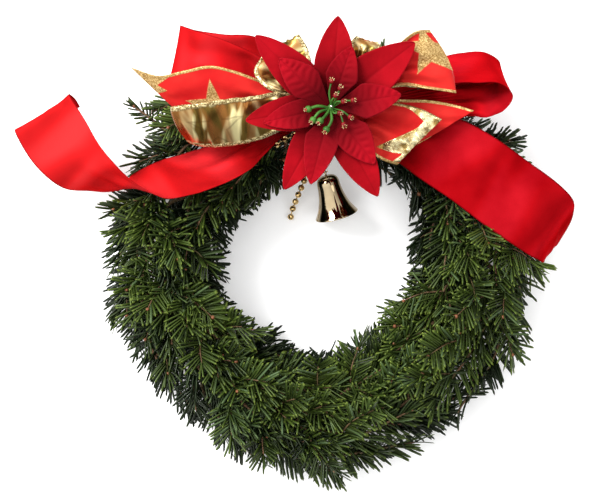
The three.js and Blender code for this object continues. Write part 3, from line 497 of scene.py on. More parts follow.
def lameMaterial():
    material, tree = newMaterial("lame_gold")
    along, across, half = attributes(tree, "along", "across", "halfWidth")
    border = remap(minus(half, times(calc("ABSOLUTE", across), half)), 4.2, 2.8)
    speckle = placeGroup(tree, glitterSpeckle, Scale=1000.0)
    streak = times(along, 0.055), times(across, 0.3)
    creaseGlints, warm = clothNoise(*streak, 1.25, 1.0, 1.2), clothNoise(*streak, 0.8, 0.0, 1.5)
    # painted reflections: the foil's colour streaks from near black through reddish brown to pale gold, standing in for
    # the dark folds and glints of crumpled lamé
    foil = mix(remap(creaseGlints, 0.38, 0.52), (0.045, 0.022, 0.003), (0.175, 0.11, 0.023))
    foil = mix(remap(creaseGlints, 0.55, 0.66), foil, (0.95, 0.84, 0.42))
    foil = mix(remap(warm, 0.5, 0.62, 0, 0.6), foil, (0.36, 0.13, 0.035))
    place = minus(onStarPitch(along), ribbonCut["starPitch"] / 2)
    level = plus(times(across, half, -1), 2.0)
    big, small = (placeGroup(tree, starMask, X=level, Y=place, Radius=ribbonCut["starRadius"] * share)
                  for share in (1, 0.8))
    foil = mix(times(minus(big, small), 0.35), foil, (0.1, 0.04, 0.008))  # the faint outline of a star
    glint = mix(calc("POWER", speckle, 2.0), (0.13, 0.075, 0.015), (1.0, 0.86, 0.45))
    raised = plus(times(creaseGlints, 6.0), times(speckle, border, 1.5))
    return finish(material, (raised, 0.6, 0.0006), Base_Color=mix(border, foil, glint),
                  Metallic=remap(border, 0, 1, 0.95, 0.6), Roughness=remap(creaseGlints, 0.3, 0.7, 0.22, 0.34))


ribbonFinishes = {"satin_red": satinMaterial(), "star_red": starMaterial(), "lame_gold": lameMaterial()}


goldPatches = {  # where the red face shows gold: outlines seen from above
    "gold_ribbon_left_tail": [[(-175, 178), (-129, 165), (-131.4, 160.4), (-140.8, 154.3), (-131.9, 149.4),
                               (-144.4, 147), (-160, 138), (-182, 150)]],
    "gold_ribbon_right_lower_loop": [[(60, 139), (70, 138.5), (101, 126), (97, 115), (88, 106), (75, 94.5), (59, 96),
                                      (44, 101), (63, 109), (79, 116.5), (85, 122), (75, 131)],
                                     [(58, 88.5), (80, 104), (92, 107), (70, 88)]],
}
starsWithin = {  # between which lengths a ribbon shows its stars, where that isn't all along
    "gold_ribbon_right_lower_loop": (0, 0), "gold_ribbon_right_tail": (0, 0), "gold_ribbon_left_tail": (62, 128),
}


def depthInside(point, outline):  # seen from above; less than nothing outside
    nearest, found = 99.0, False
    for (x0, y0), (x1, y1) in zip(outline, outline[1:] + outline[:1]):
        if (y0 > point[1]) != (y1 > point[1]) and point[0] < (x1 - x0) * (point[1] - y0) / (y1 - y0) + x0:
            found = not found
        size = (x1 - x0) ** 2 + (y1 - y0) ** 2
        t = min(1.0, max(0.0, ((point[0] - x0) * (x1 - x0) + (point[1] - y0) * (y1 - y0)) / size))
        nearest = min(nearest, math.hypot(point[0] - x0 - t * (x1 - x0), point[1] - y0 - t * (y1 - y0)))
    return nearest if found else -nearest


def gatherLift(across, along, chord, width, openShare, seed):  # the folds that take up a ribbon's spare width
    spare = math.sqrt(max(0.0, (width / chord) ** 2 - 1))
    fine = smoothStep(gathers["fineFrom"] - chord / width, 0, gathers["fineFrom"] - gathers["fineTo"])
    few = width < ribbonCut["satin"] and fine > 0.2  # the thin lame bunches in fewer folds
    fineWaves = gathers["fine"] * (gathers["fewer"] if few else 1)
    drift = (4.0 if few else 1.6) * noiseAt(along / 16, across * 1.5, seed * 2.7)
    lift = 0
    for waves, share in ((fineWaves, fine), (gathers["broad"], openShare * (1 - fine))):
        height = spare * math.sqrt(share) * chord * math.sqrt(2) / (2 * math.pi * waves)
        lift += height * math.sin(math.pi * waves * across + 1.3 * seed + drift)
    return lift


def gridMesh(columns, rows, *labels):  # a flat grid from -1 to 1, with a layer for each label
    bm = bmesh.new()
    bmesh.ops.create_grid(bm, x_segments=columns, y_segments=rows, size=1)
    return bm, {label: bm.verts.layers.float.new(label) for label in labels}


def ribbonMesh(node, seed):
    rows, _, cut, cutLength, crown, crease, creaseLength, starOffset, openShare = ribbons[node]
    isLoop, width = "loop" in node, ribbonCut[cut]
    columns, steps = ribbonCut["columns"], (len(rows) - 1) * ribbonCut["perRow"]
    first, second = (curvePoints([row[side:side + 3] for row in rows], steps) for side in (0, 3))
    along = lengthsAlong((first + second) / 2)
    forward = unit(np.gradient((first + second) / 2, axis=0))
    normal = unit(np.cross(forward, second - first))
    half = np.linalg.norm(second - first, axis=1) / 2
    folded = along[int(np.argmax(abs(first[:, 0] + second[:, 0])))]
    starFrom, starTo = starsWithin.get(node, (0, 999))
    bulge = ribbonCut["bulge"] if node.endswith("upper_loop") else 0
    creaseAcross = 0.2 if node == "gold_ribbon_left_loop" else 0.5
    bm, layers = gridMesh(columns, steps, "along", "across", "halfWidth", "foil", "shine", "stars")
    for v in bm.verts:
        across = v.co.x
        i = round((v.co.y + 1) / 2 * steps)
        free = smoothStep(along[i], *tieHold)
        if isLoop:
            free *= smoothStep(along[-1] - along[i], *tieHold)
        else:
            free *= smoothStep(along[-1] - along[i], -tieHold[1], tieHold[1])
        wave = noiseAt(along[i] / creaseLength, across * creaseAcross, 7.3 * seed)
        if creaseLength < ribbonCut["sharpFolds"]:
            wave = 0.6 - 2.2 * abs(wave)
        lift = (crown * (1 - across ** 2) + crease * wave * (1 - 0.5 * across ** 2)) * free
        upwards = min(1.0, max(-1.0, normal[i][2] * 3))
        if isLoop:  # both of its layers fold alike, and it opens out flat where it turns
            place = abs(along[i] - folded)
            spread, openHere = smoothStep(place, 0, 16), openShare
        else:  # a tail's folds run out towards its end
            place, spread = along[i], 1
            openHere = openShare * (1 - 0.9 * smoothStep(place, 0.45 * along[-1], 0.75 * along[-1]))
        lift += upwards * spread * gatherLift(across, place, half[i] * 2, width, openHere, seed)
        point = first[i] + (second[i] - first[i]) * (across + 1) / 2 + normal[i] * lift
        depth = max([depthInside(point, patch) for patch in goldPatches.get(node, [])] or [-9])
        if depth > 0 and isLoop:
            point[2] += (1.6 * noise.noise(Vector(point) * 0.16) + 0.8) * min(1.0, depth / 2)
        point += forward[i] * bulge * (1 - across ** 2) * smoothStep(12 - abs(along[i] - folded), 0, 12)
        v.co = rowVector(point)
        for label, value in (("foil", min(6.0, max(-6.0, depth))), ("shine", isLoop), ("across", across),
                             ("stars", starFrom <= along[i] < starTo), ("along", along[i] + starOffset),
                             ("halfWidth", half[i])):
            v[layers[label]] = value
    bm.normal_update()
    start = [f for f in bm.faces if f.index < columns * steps // 3]
    if sum(f.normal.z * f.calc_area() for f in start) < 0:
        bmesh.ops.reverse_faces(bm, faces=bm.faces)
    share = sum(f.calc_area() for f in bm.faces) / mm ** 2 / width / cutLength
    print(node, "cut", width, "x", cutLength, "made", round(along[-1]), "cloth share", round(share, 2))
    return meshFrom(bm, "ribbon")


def makeRibbons():
    meshes = []
    for number, (node, look) in enumerate(ribbons.items()):
        meshes.append(ribbonMesh(node, number))
        slot = "red_satin" if look[2] == "satin" else "gold_ribbon"
        piece = newPiece(f"{node}_cloth", meshes[-1], slot, node, *[ribbonFinishes[face] for face in look[1]])
        thicken(piece, ribbonCut["thickness"], otherFace=1)
    return meshes


clothMeshes = makeRibbons()
print("ribbons ready")


# Fir sprays
fir = {
    "angles": [98, 121, 144, 167, 190, 213, 236, 259, 281], "returnAngles": [78, 56, 34, 12, -10],
    "bundleRadius": 4.2, "bundleLength": 26, "bundleSpread": 0.55, "bundleStep": 1.6, "twigRadius": 1.35,
    "tries": 160, "unevenness": 16, "usualReach": (80, 190), "coreHeight": ring["middle"] + 6, "bareShare": 0.2,
    "overhang": 0.3, "fromBow": 1.2, "lookAhead": 1.5, "stopShort": 2, "shortest": 11, "lowestTip": 0.2,
    "twigFromBow": 3, "besideBell": ((0, 28), (70, 96)), "budShare": 0.3, "clump": (0.6, 34),
    "paleShares": ((0.05, 0.12, 0.55), (0.5, 0.3, 0.2)),  # shares of pale needles, and how likely each is
    "stray": (0.6, 0.8, 0.6),  # how much darker, density, needle size
    "bow": {"height": 38, "press": 0.72, "from": 62, "to": 92},  # foliage keeps low where the bow lies on it
    "needle": {"length": 26.5, "width": 2.15, "thickness": 0.9, "perMillimetre": 0.82, "lowest": 0.8,
               "upperShare": 0.24, "upperTurn": (58, 14), "sideTurn": (9, 9), "upperLean": 43, "sideLean": 61,
               "leanSpread": 3.5, "sway": 7, "swayPace": 9, "tipLean": 28, "lengths": (0.84, 1.0),
               "widths": (0.85, 1.1), "bends": (0.02, 0.16), "toneSpread": 0.12},
    "shoot": {"radius": 0.85, "places": ((0.3, 0.54), (0.48, 0.5), (0.66, 0.42)), "missing": 0.3,
              "strayMissing": 0.85, "lengths": (0.68, 1.18), "lean": (46, 68), "rise": (-0.15, 0.6),
              "turnBack": 0.45, "needles": 0.92, "margin": 9, "lowest": 4},
}
needle, sideShoot = fir["needle"], fir["shoot"]
foliageEdges = [  # angle, then how far the needles reach inwards and outwards there
    (0, 72, 196), (15, 78, 202), (30, 90, 205), (45, 95, 205), (60, 85, 205), (120, 75, 205), (150, 76, 200),
    (180, 80, 192), (195, 81, 193), (210, 78, 186), (225, 68, 185), (240, 68, 180), (255, 74, 188), (270, 75, 191),
    (285, 64, 183), (300, 60, 183), (315, 62, 178), (330, 66, 183), (345, 69, 188), (360, 72, 196),
]
sprigRoles = [  # knee and tip: arc along the ring, distance from its centre, height
    ((22, 160, 27), (66, 180, 17)), ((30, 160, 46), (88, 181, 42)), ((34, 144, 58), (98, 154, 68)),
    ((34, 123, 57), (92, 115, 65)), ((28, 108, 45), (76, 100, 44)), ((20, 106, 28), (56, 96, 18)),
]
straySprigs = {  # by spray and role
    (1, 1): ((-124, 112, 42), (-168, 142, 40)),
    (9, 1): ((40, 166, 38), (52, 190, 40)),
    (10, 1): ((132, 108, 38), (168, 110, 38)),
}
bundleHeight = ringTop + touchGap + fir["bundleRadius"]
sprayPlaces = [(angle, 1) for angle in fir["angles"]] + [(angle, -1) for angle in fir["returnAngles"]]


def seededRandom(seed):
    state = seed % 2 ** 32

    def draw():
        nonlocal state
        state = (state * 1664525 + 1013904223) % 2 ** 32
        return state / 2 ** 32
    return draw


def ringPoint(angle, way, arc, radius, z):
    turned = math.radians(angle) + way * arc / ring["radius"]
    return np.array([radius * math.cos(turned), radius * math.sin(turned), z])


def edgesAt(turned):  # the foliage's inner and outer reach at an angle in radians
    angle = math.degrees(turned) % 360
    rough = [fir["unevenness"] * share * noiseAt(math.cos(turned) * 6, math.sin(turned) * 6, 3.1 * share)
             for share in (0.5, 1)]
    return [float(np.interp(angle, [row[0] for row in foliageEdges], [row[k] for row in foliageEdges])) + rough[k - 1]
            for k in (1, 2)]


def underBow(point):
    bow = fir["bow"]
    if point[2] > bow["height"]:
        low = 1 - bow["press"] * smoothStep(point[1], bow["from"], bow["to"])
        point[2] = bow["height"] + (point[2] - bow["height"]) * low
    return point


def sprigPath(angle, way, role, stray, freedom, draw):
    def shake(size):
        return (draw() - 0.5) * 2 * size * freedom
    root = ringPoint(angle, way, fir["bundleLength"] * 0.62, ring["radius"] + shake(2), bundleHeight)
    if stray:
        return [root] + [np.array([v + shake(3) for v in place]) for place in stray]
    path = [root]
    usualInner, usualOuter = fir["usualReach"]
    for loose, (arc, radius, z) in zip((3, 6), role):
        onward = math.radians(angle) + way * arc / ring["radius"]
        inner, outer = edgesAt(onward)
        fuller = (outer - usualOuter) * 0.9 if radius > ring["radius"] else (inner - usualInner) * 0.75
        a, r, h = arc + shake(loose), radius + fuller + shake(loose), z + shake(loose * 0.8)
        path.append(underBow(ringPoint(angle, way, a, r, h)))
    return path


def makeBowTree():  # everything but the foliage, the ring and its wire
    bm = bmesh.new()
    names = [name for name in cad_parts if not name.startswith(("fir_", "straw", "binding"))]
    for mesh in [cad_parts[name].data for name in names] + clothMeshes:
        bm.from_mesh(mesh)
    tree = BVHTree.FromBMesh(bm)
    bm.free()
    return tree


bowTree = makeBowTree()


def distanceToBow(point):
    found = bowTree.find_nearest(rowVector(point), 0.03)
    return found[3] / mm if found[0] is not None else 30


def needleShape():  # one needle, a unit long and wide, keeled above and closed at both ends
    bm = bmesh.new()
    bmesh.ops.create_circle(bm, cap_ends=True, segments=3, radius=0.58)
    turnUp = Matrix.Rotation(math.radians(-90), 3, "Y")
    bmesh.ops.rotate(bm, cent=(0, 0, 0), matrix=turnUp, verts=bm.verts)
    bmesh.ops.scale(bm, vec=(1, 0.5, 0.5), verts=bm.verts)
    face = bm.faces[:][0]
    place = 0
    for step, grow in ((0.12, 1.9), (0.43, 1.1), (0.36, 0.85), (0.09, 0.3)):
        made = bmesh.ops.extrude_face_region(bm, geom=[face])["geom"]
        corners = [v for v in made if isinstance(v, bmesh.types.BMVert)]
        old, face = face, next(f for f in made if isinstance(f, bmesh.types.BMFace))
        if place:
            bmesh.ops.delete(bm, geom=[old], context="FACES_ONLY")
        place += step
        for v in corners:
            v.co.x = place
        bmesh.ops.scale(bm, vec=(1, grow, grow), verts=corners)
    bmesh.ops.pointmerge(bm, verts=corners, merge_co=(1, 0, 0))
    bmesh.ops.recalc_face_normals(bm, faces=bm.faces)
    bmesh.ops.triangulate(bm, faces=bm.faces)
    for axis in (1, 2):  # one wide and one high
        reach = [v.co[axis] for v in bm.verts]
        size, low = max(reach) - min(reach), min(reach)
        for v in bm.verts:
            v.co[axis] = (v.co[axis] - low) / size - 0.5
    return meshFrom(bm, "needle")


def meshArrays(mesh):  # its points and its triangles' corners
    points = np.empty(len(mesh.vertices) * 3)
    mesh.vertices.foreach_get("co", points)
    corners = np.empty(len(mesh.loops), int)
    mesh.loops.foreach_get("vertex_index", corners)
    return points.reshape(-1, 3), corners.reshape(-1, 3)


needleCorners, needleFaces = meshArrays(needleShape())


def manyNeedles(needles):  # needles: rows of place, direction, face, length, width, tone, pale, bend
    place, ahead, face = (needles[:, None, k:k + 3] for k in (0, 3, 6))
    side = np.cross(face, ahead)
    length, width, bend = (needles[:, None, k, None] for k in (9, 10, 13))
    x, y, z = (needleCorners[None, :, axis, None] for axis in range(3))
    thick = width * needle["thickness"] / needle["width"]
    points = place + ahead * x * length + side * y * width + face * (z * thick + bend * x ** 2 * length)
    each = len(needleCorners)
    faces = (needleFaces[None] + np.arange(len(needles))[:, None, None] * each).reshape(-1, 3)
    mesh = bpy.data.meshes.new("needles")
    mesh.vertices.add(len(needles) * each)
    mesh.vertices.foreach_set("co", toRow(points.reshape(-1, 3)).ravel())
    mesh.loops.add(faces.size)
    mesh.loops.foreach_set("vertex_index", faces.ravel().astype(np.int32))
    mesh.polygons.add(len(faces))
    mesh.polygons.foreach_set("loop_start", np.arange(len(faces), dtype=np.int32) * 3)
    mesh.update(calc_edges=True)
    values = {"along": np.tile(needleCorners[:, 0], len(needles)),
              "keelHighlight": np.tile((needleCorners[:, 2] > 0.3).astype(float), len(needles)),
              "tone": np.repeat(needles[:, 11], each), "pale": np.repeat(needles[:, 12], each)}
    for label, value in values.items():
        mesh.attributes.new(label, "FLOAT", "POINT").data.foreach_set("value", value.astype(np.float32))
    mesh.shade_smooth()
    return mesh


def twigFrames(points):  # direction, outward and sideways at each point of a twig
    ahead = unit(np.gradient(points, axis=0))
    flat = np.hypot(points[:, 0], points[:, 1])[:, None]
    core = points * np.array([1, 1, 0]) / flat * ring["radius"]
    core[:, 2] = fir["coreHeight"]
    outward = unit(points - core) + np.array([0, 0, 0.75])
    sideways = unit(np.cross(ahead, outward))
    return ahead, np.cross(sideways, ahead), sideways


def sideTwig(points, start, hand, length, rng):  # a side shoot that bends towards its parent's tip
    ahead, outward, sideways = twigFrames(points)
    along = lengthsAlong(points)
    i = int(np.argmin(abs(along - start)))
    lean = math.radians(rng.uniform(*sideShoot["lean"]))
    rise = rng.uniform(*sideShoot["rise"])
    direction = ahead[i] * math.cos(lean) + (sideways[i] * hand + outward[i] * rise) * math.sin(lean)
    direction /= np.linalg.norm(direction)
    later = direction + ahead[i] * sideShoot["turnBack"]
    later /= np.linalg.norm(later)
    middle = points[i] + direction * length * 0.5
    return curvePoints([points[i], middle, middle + later * length * 0.5], 12)


def needlesOn(points, begin, density, sprigTone, sprigPale, rng, small):
    total = lengthsAlong(points)[-1]
    count = max(4, int((total - begin) * density))
    at = begin + (np.arange(count) + rng.uniform(0.15, 0.85, count)) * (total - begin) / count
    place = resample(points, at)
    frames = twigFrames(resample(points, np.linspace(0, total, 40)))
    pick = np.clip((at / total * 39).astype(int), 0, 39)
    ahead, outward, sideways = (rows[pick] for rows in frames)
    part = (at - begin) / max(total - begin, 1)
    hand = np.where(np.arange(count) % 2, 1, -1)
    upper = rng.random_sample(count) < needle["upperShare"]
    turns = [rng.normal(*needle[kind], count) for kind in ("upperTurn", "sideTurn")]
    turn = np.radians(np.where(upper, *turns))
    around = sideways * (hand * np.cos(turn))[:, None] + outward * np.sin(turn)[:, None]
    nearTip = np.clip((part - 0.7) / 0.3, 0, 1)
    sway = needle["sway"] * np.sin(at / needle["swayPace"] + rng.uniform(0, 6.3))  # neighbours lean alike
    lean = np.where(upper, needle["upperLean"], needle["sideLean"]) + sway + rng.normal(0, needle["leanSpread"], count)
    lean = np.radians(lean - 9 * part - needle["tipLean"] * nearTip)
    direction = ahead * np.cos(lean)[:, None] + around * np.sin(lean)[:, None]
    upright = outward - direction * (outward * direction).sum(1)[:, None]
    inner = ahead * np.sin(lean)[:, None] - around * np.cos(lean)[:, None]
    face = upright * 0.8 + inner * 0.45 + rng.normal(0, 0.16, (count, 3))
    face -= direction * (face * direction).sum(1)[:, None]
    face = unit(face)
    length = needle["length"] * small * rng.uniform(*needle["lengths"], count) * (1 - 0.2 * nearTip)
    low = (needle["lowest"] - place[:, 2]) / length
    direction[:, 2] = np.maximum(direction[:, 2], low)
    direction = unit(direction)
    width = needle["width"] * rng.uniform(*needle["widths"], count)
    fromAxis = np.hypot(place[:, 0], place[:, 1])
    fromCore = np.hypot(fromAxis - ring["radius"], place[:, 2] - fir["coreHeight"])
    # painted shade: needles deep in the foliage or low down are darker
    depth = np.clip((fromCore - 50) / 22, -0.85, 0.25) + np.clip((place[:, 2] - 48) / 70, -0.3, 0.1)
    holeSideShade = np.clip((98 - fromAxis) / 14, 0, 1)  # painted shade: needles towards the hole are darker
    tone = sprigTone + depth - 0.35 * holeSideShade + rng.normal(0, needle["toneSpread"], count)
    tone = np.clip(tone, 0, 1)
    pale = np.where(rng.random_sample(count) < sprigPale, rng.uniform(0.5, 1, count), 0)
    bend = rng.uniform(*needle["bends"], count)
    return np.column_stack([place, direction, face, length, width, tone, pale, bend])


def overBow(point):  # whether part of the bow lies straight below
    return bowTree.ray_cast(rowVector(point), Vector((0, 0, -1)))[0] is not None


def keepClear(needles, stray):  # leaves out what would reach into the bow, the bell or the hole, or far out
    kept = []
    tips = needles[:, :3] + needles[:, 3:6] * needles[:, 9, None]
    (left, right), (low, high) = fir["besideBell"]
    for row, tip, start, end in zip(needles, tips, toRow(needles[:, :3]), toRow(tips)):
        inner, outer = edgesAt(math.atan2(tip[1], tip[0]))
        reach = math.hypot(tip[0], tip[1])
        farOut = not stray and reach > outer + row[9] * fir["overhang"]
        byBell = left < tip[0] < right and low < tip[1] < high
        if reach < inner or farOut or byBell or tip[2] < fir["lowestTip"] or overBow(tip):
            continue
        way, end = Vector(end - start), Vector(end)
        if any(bowTree.find_nearest(place, fir["fromBow"] * mm)[0] for place in (end, end - way / 3)):
            continue
        hit = bowTree.ray_cast(Vector(start), way.normalized(), way.length + fir["lookAhead"] * mm)
        if hit[0] is None:
            kept.append(row)
        elif hit[3] / mm > fir["shortest"]:
            row[9] = hit[3] / mm - fir["stopShort"]
            kept.append(row)
    return np.array(kept)


def clumpTone(point):  # older and younger growth in patches
    strength, size = fir["clump"]
    return strength * noise.noise(Vector(point) / size)


def freeSprig(k, j, angle, way, stray):  # tries shapes until one keeps away from the bow
    for attempt in range(fir["tries"]):
        draw = seededRandom(7919 * (k + 1) + 104729 * (j + 1) + 1299709 * attempt)
        draw()
        points = curvePoints(sprigPath(angle, way, sprigRoles[j], stray, 1 + attempt / 50, draw), 24)
        if all(distanceToBow(p) > fir["twigFromBow"] for p in points[6::2]):
            break
    return points


def growSpray(k, angle, way):
    wires, needles, buds = [], [], []
    rng = np.random.RandomState(400 + k)
    foot = ringPoint(angle, way, -fir["bundleLength"] * 0.2, ring["radius"], bundleHeight)
    for j in range(len(sprigRoles)):
        stray = straySprigs.get((k, j))
        points = freeSprig(k, j, angle, way, stray)
        turn = j * math.pi / 3
        aside = np.array([math.cos(turn), math.sin(turn), 0]) * fir["bundleRadius"] * fir["bundleSpread"]
        start = foot + aside + np.array([0, 0, (j % 3 - 1) * fir["bundleStep"]])
        wires.append((np.vstack([start, (start + points[0]) / 2 + aside * 0.4, points]),
                      np.interp(np.arange(27), [0, 8, 26], [1.5, 1.5, 0.7]) * fir["twigRadius"]))
        total = lengthsAlong(points)[-1]
        shares, odds = fir["paleShares"]
        tone, pale = rng.uniform(0.15, 0.95), rng.choice(shares, p=odds)
        darker, density, small = fir["stray"] if stray else (0, 1, 1)
        tone += clumpTone(points[16]) - darker
        density *= needle["perMillimetre"]
        grown = needlesOn(points, total * fir["bareShare"], density, tone, pale, rng, small)
        needles.append(keepClear(grown, stray))
        buds.append(points[-1])
        missing = sideShoot["strayMissing" if stray else "missing"]
        for place, size in sideShoot["places"]:
            for hand in (-1, 1):
                if rng.random_sample() < missing:
                    continue
                length = total * size * rng.uniform(*sideShoot["lengths"])
                shoot = sideTwig(points, total * (place + rng.uniform(-0.05, 0.05)), hand, length, rng)
                reach = math.hypot(shoot[-1][0], shoot[-1][1])
                inner, outer = edgesAt(math.atan2(shoot[-1][1], shoot[-1][0]))
                margin = sideShoot["margin"]
                if shoot[:, 2].min() < sideShoot["lowest"] or reach < inner + margin or reach > outer - margin:
                    continue
                if any(distanceToBow(p) < fir["twigFromBow"] or overBow(p) for p in shoot[3::2]):
                    continue
                wires.append((shoot, np.linspace(1, 0.55, len(shoot)) * sideShoot["radius"]))
                ownTone = tone + clumpTone(shoot[8]) + rng.normal(0, 0.2)
                grown = needlesOn(shoot, 3, needle["perMillimetre"], ownTone, pale, rng, sideShoot["needles"])
                needles.append(keepClear(grown, False))
                buds.append(shoot[-1])
    return wires, np.concatenate([rows for rows in needles if len(rows)]), buds


def needleMaterial():
    material, tree = newMaterial("fir_needle")
    along, tone, pale, keelHighlight = attributes(tree, "along", "tone", "pale", "keelHighlight")
    grown = times(tone, remap(along, 0.05, 0.75, 0.12, 1))  # painted shade: darker where a needle starts, deep among the others
    green = mix(grown, (0.001, 0.0026, 0.0004), (0.033, 0.058, 0.006))
    green = mix(remap(objectNoise(tree, 34, 2), 0.35, 0.7, 0, 0.45), green, (0.006, 0.018, 0.003))
    green = mix(times(remap(along, 0.84, 1.0, 0, 0.9), tone), green, (0.19, 0.25, 0.035))
    # painted highlight: lighter along the needle's keel
    green = mix(times(keelHighlight, 0.35, tone), green, (0.09, 0.125, 0.022))
    green = mix(times(pale, tone), green, (0.062, 0.1, 0.042))
    rough = remap(objectNoise(tree, 700, 2), 0.3, 0.7, 0.32, 0.5)
    return finish(material, (objectNoise(tree, 1500, 2), 0.25, 0.0003), Base_Color=green, Roughness=rough,
                  Specular_IOR_Level=0.3, Specular_Tint=(0.85, 1, 0.7, 1))


def barkMaterial():
    material, tree = newMaterial("fir_bark")
    grain = objectNoise(tree, 900, 4, 0.6)
    bark = mix(remap(grain, 0.3, 0.7), (0.05, 0.024, 0.01), (0.2, 0.1, 0.045))
    bark = mix(remap(objectNoise(tree, 45, 2), 0.45, 0.65, 0, 0.55), bark, (0.06, 0.065, 0.015))
    return finish(material, (grain, 0.6, 0.0006), Base_Color=bark, Roughness=0.75)


def budMaterial():
    material, tree = newMaterial("fir_bud")
    grain = objectNoise(tree, 1200)
    husk = mix(remap(grain, 0.35, 0.65), (0.09, 0.025, 0.008), (0.26, 0.09, 0.03))
    return finish(material, (grain, 0.5, 0.0005), Base_Color=husk, Roughness=0.55)


def budMesh(places, rng):
    bm = bmesh.new()
    for place in places:
        made = bmesh.ops.create_icosphere(bm, subdivisions=1, radius=rng.uniform(1.5, 2.2) * mm)["verts"]
        bmesh.ops.scale(bm, vec=(1, 1, 1.25), verts=made)
        bmesh.ops.translate(bm, vec=rowVector(place), verts=made)
    return meshFrom(bm, "buds")


def makeFoliage():
    materials = (needleMaterial(), barkMaterial(), budMaterial())
    rng = np.random.RandomState(77)
    total = 0
    for k, (angle, way) in enumerate(sprayPlaces):
        wires, needles, buds = growSpray(k, angle, way)
        tips = budMesh([bud for bud in buds if rng.random_sample() < fir["budShare"]], rng)
        mesh = joinMeshes([(manyNeedles(needles), 0), (wireMesh("twigs", wires, sides=6), 1), (tips, 2)])
        name = f"fir_spray_{k + 1:02d}"
        newPiece(f"{name}_needles", mesh, "fir", name, *materials)
        total += len(needles)
    print("foliage ready,", total, "needles")


makeFoliage()


# Silk poinsettia: two layers of bracts, each row a tip from the middle and a width
flower = {"rootSpread": 0.53, "cup": 0.16, "thickness": 0.9, "steps": 54, "columns": 22, "ribPitch": 6.8,
          "ribSlant": 0.55, "waver": 0.05, "edgeLift": 1.3, "veinDepth": 1.1, "veinWidth": 0.07}
outerBracts = [(6, 76, 10, 34), (-63, 60, 8, 32), (70, 54, 8, 38), (39, -74, 6, 33), (-39, -68, 6, 31),
               (-71, -11, 11, 30)]
innerBracts = [(17, 50, 15, 27), (-43, 40, 15, 29), (58, 10, 16, 29), (36, -47, 13, 30), (-17, -64, 13, 28),
               (-56, -13, 16, 24)]


def bractMaterial(name, deep, light, root):
    material, tree = newMaterial(name)
    along, across = attributes(tree, "along", "across")
    vein = remap(calc("ABSOLUTE", across), 0.09, 0.0)
    blotch, fibre = remap(objectNoise(tree, 45, 4), 0.3, 0.7), objectNoise(tree, 1700)
    silk = mix(plus(times(blotch, 0.6), times(fibre, 0.4)), deep, light)
    # painted shade: the bract darkens towards its root, deep in the flower
    silk = mix(remap(along, 0.75, 0.18, 0, 0.97), silk, root)
    silk = mix(times(vein, 0.16), silk, root)
    raised = minus(times(fibre, 0.5), times(vein, 0.5))
    return finish(material, (raised, 0.5, 0.0006), Base_Color=silk, Roughness=0.7, Specular_IOR_Level=0.12,
                  Specular_Tint=(1, 0.25, 0.28, 1), Sheen_Weight=0.12, Sheen_Roughness=0.5,
                  Sheen_Tint=(1, 0.15, 0.18, 1))


def bractMesh(bract, rootHeight, arch, seed, ripple):
    tip, width = np.array(bract[:3], float), bract[3]
    out = np.array([tip[0], tip[1], 0]) / math.hypot(tip[0], tip[1])
    middle = np.array(flowerMiddle)
    root = middle + (0, 0, rootHeight) + out * 3
    side = np.array([-out[1], out[0], 0])
    length = float(np.linalg.norm(tip))
    bm, layers = gridMesh(flower["columns"], flower["steps"], "along", "across")
    for v in bm.verts:
        t, across = (v.co.y + 1) / 2, v.co.x
        point = root + (middle + tip - root) * t
        point[2] += arch * math.sin(math.pi * t)
        full = width / 2 * math.sin(math.pi * min(1, 0.1 + 0.9 * t ** 0.85)) ** 0.68
        fromMiddle = math.hypot(point[0] - middle[0], point[1] - middle[1])
        half = max(0.5, min(full, flower["rootSpread"] * fromMiddle))
        edge = noiseAt(t * 5, across * 1.3, seed * 4.1)
        point += side * half * across * (1 + flower["waver"] * edge * abs(across))
        point[2] += flower["cup"] * half * abs(across) ** 1.3 + flower["edgeLift"] * edge * abs(across) * t
        point[2] -= flower["veinDepth"] * math.exp(-(across / flower["veinWidth"]) ** 2) * (1 - t)
        slant = t * length - abs(across) * half * flower["ribSlant"]
        rib = math.cos(2 * math.pi * slant / flower["ribPitch"] + edge * 3.5)
        rib *= 0.75 + 0.9 * noiseAt(t * 2.2 + 5, across * 1.7, seed * 1.9)
        fade = smoothStep(abs(across), 0.05, 0.25), smoothStep(1 - abs(across), 0, 0.25), smoothStep(t, 0.12, 0.3)
        point[2] += ripple * rib * fade[0] * fade[1] * fade[2]
        v.co = rowVector(point)
        v[layers["along"]] = t * length / 70
        v[layers["across"]] = across
    bm.normal_update()
    if sum(f.normal.z for f in bm.faces) < 0:
        bmesh.ops.reverse_faces(bm, faces=bm.faces)
    return meshFrom(bm, "bract")


def makeFlower():
    # the last colour of each is the painted shade towards a bract's root
    outerSilk = bractMaterial("silk_outer", (0.17, 0.001, 0.003), (0.31, 0.002, 0.007), (0.06, 0.0004, 0.0015))
    innerSilk = bractMaterial("silk_inner", (0.19, 0.001, 0.004), (0.33, 0.003, 0.01), (0.05, 0.0003, 0.0015))
    for layer, (name, bracts, rootHeight, arch, silk, ripple) in enumerate((
            ("outer", outerBracts, 0, 6, outerSilk, 0.1), ("inner", innerBracts, 6.5, 4, innerSilk, 0.55))):
        parts = [(bractMesh(bract, rootHeight, arch, 10 * layer + i, ripple), 0) for i, bract in enumerate(bracts)]
        piece = newPiece(f"poinsettia_{name}_silk", joinMeshes(parts), "red_silk", f"poinsettia_{name}_bracts", silk)
        thicken(piece, flower["thickness"])


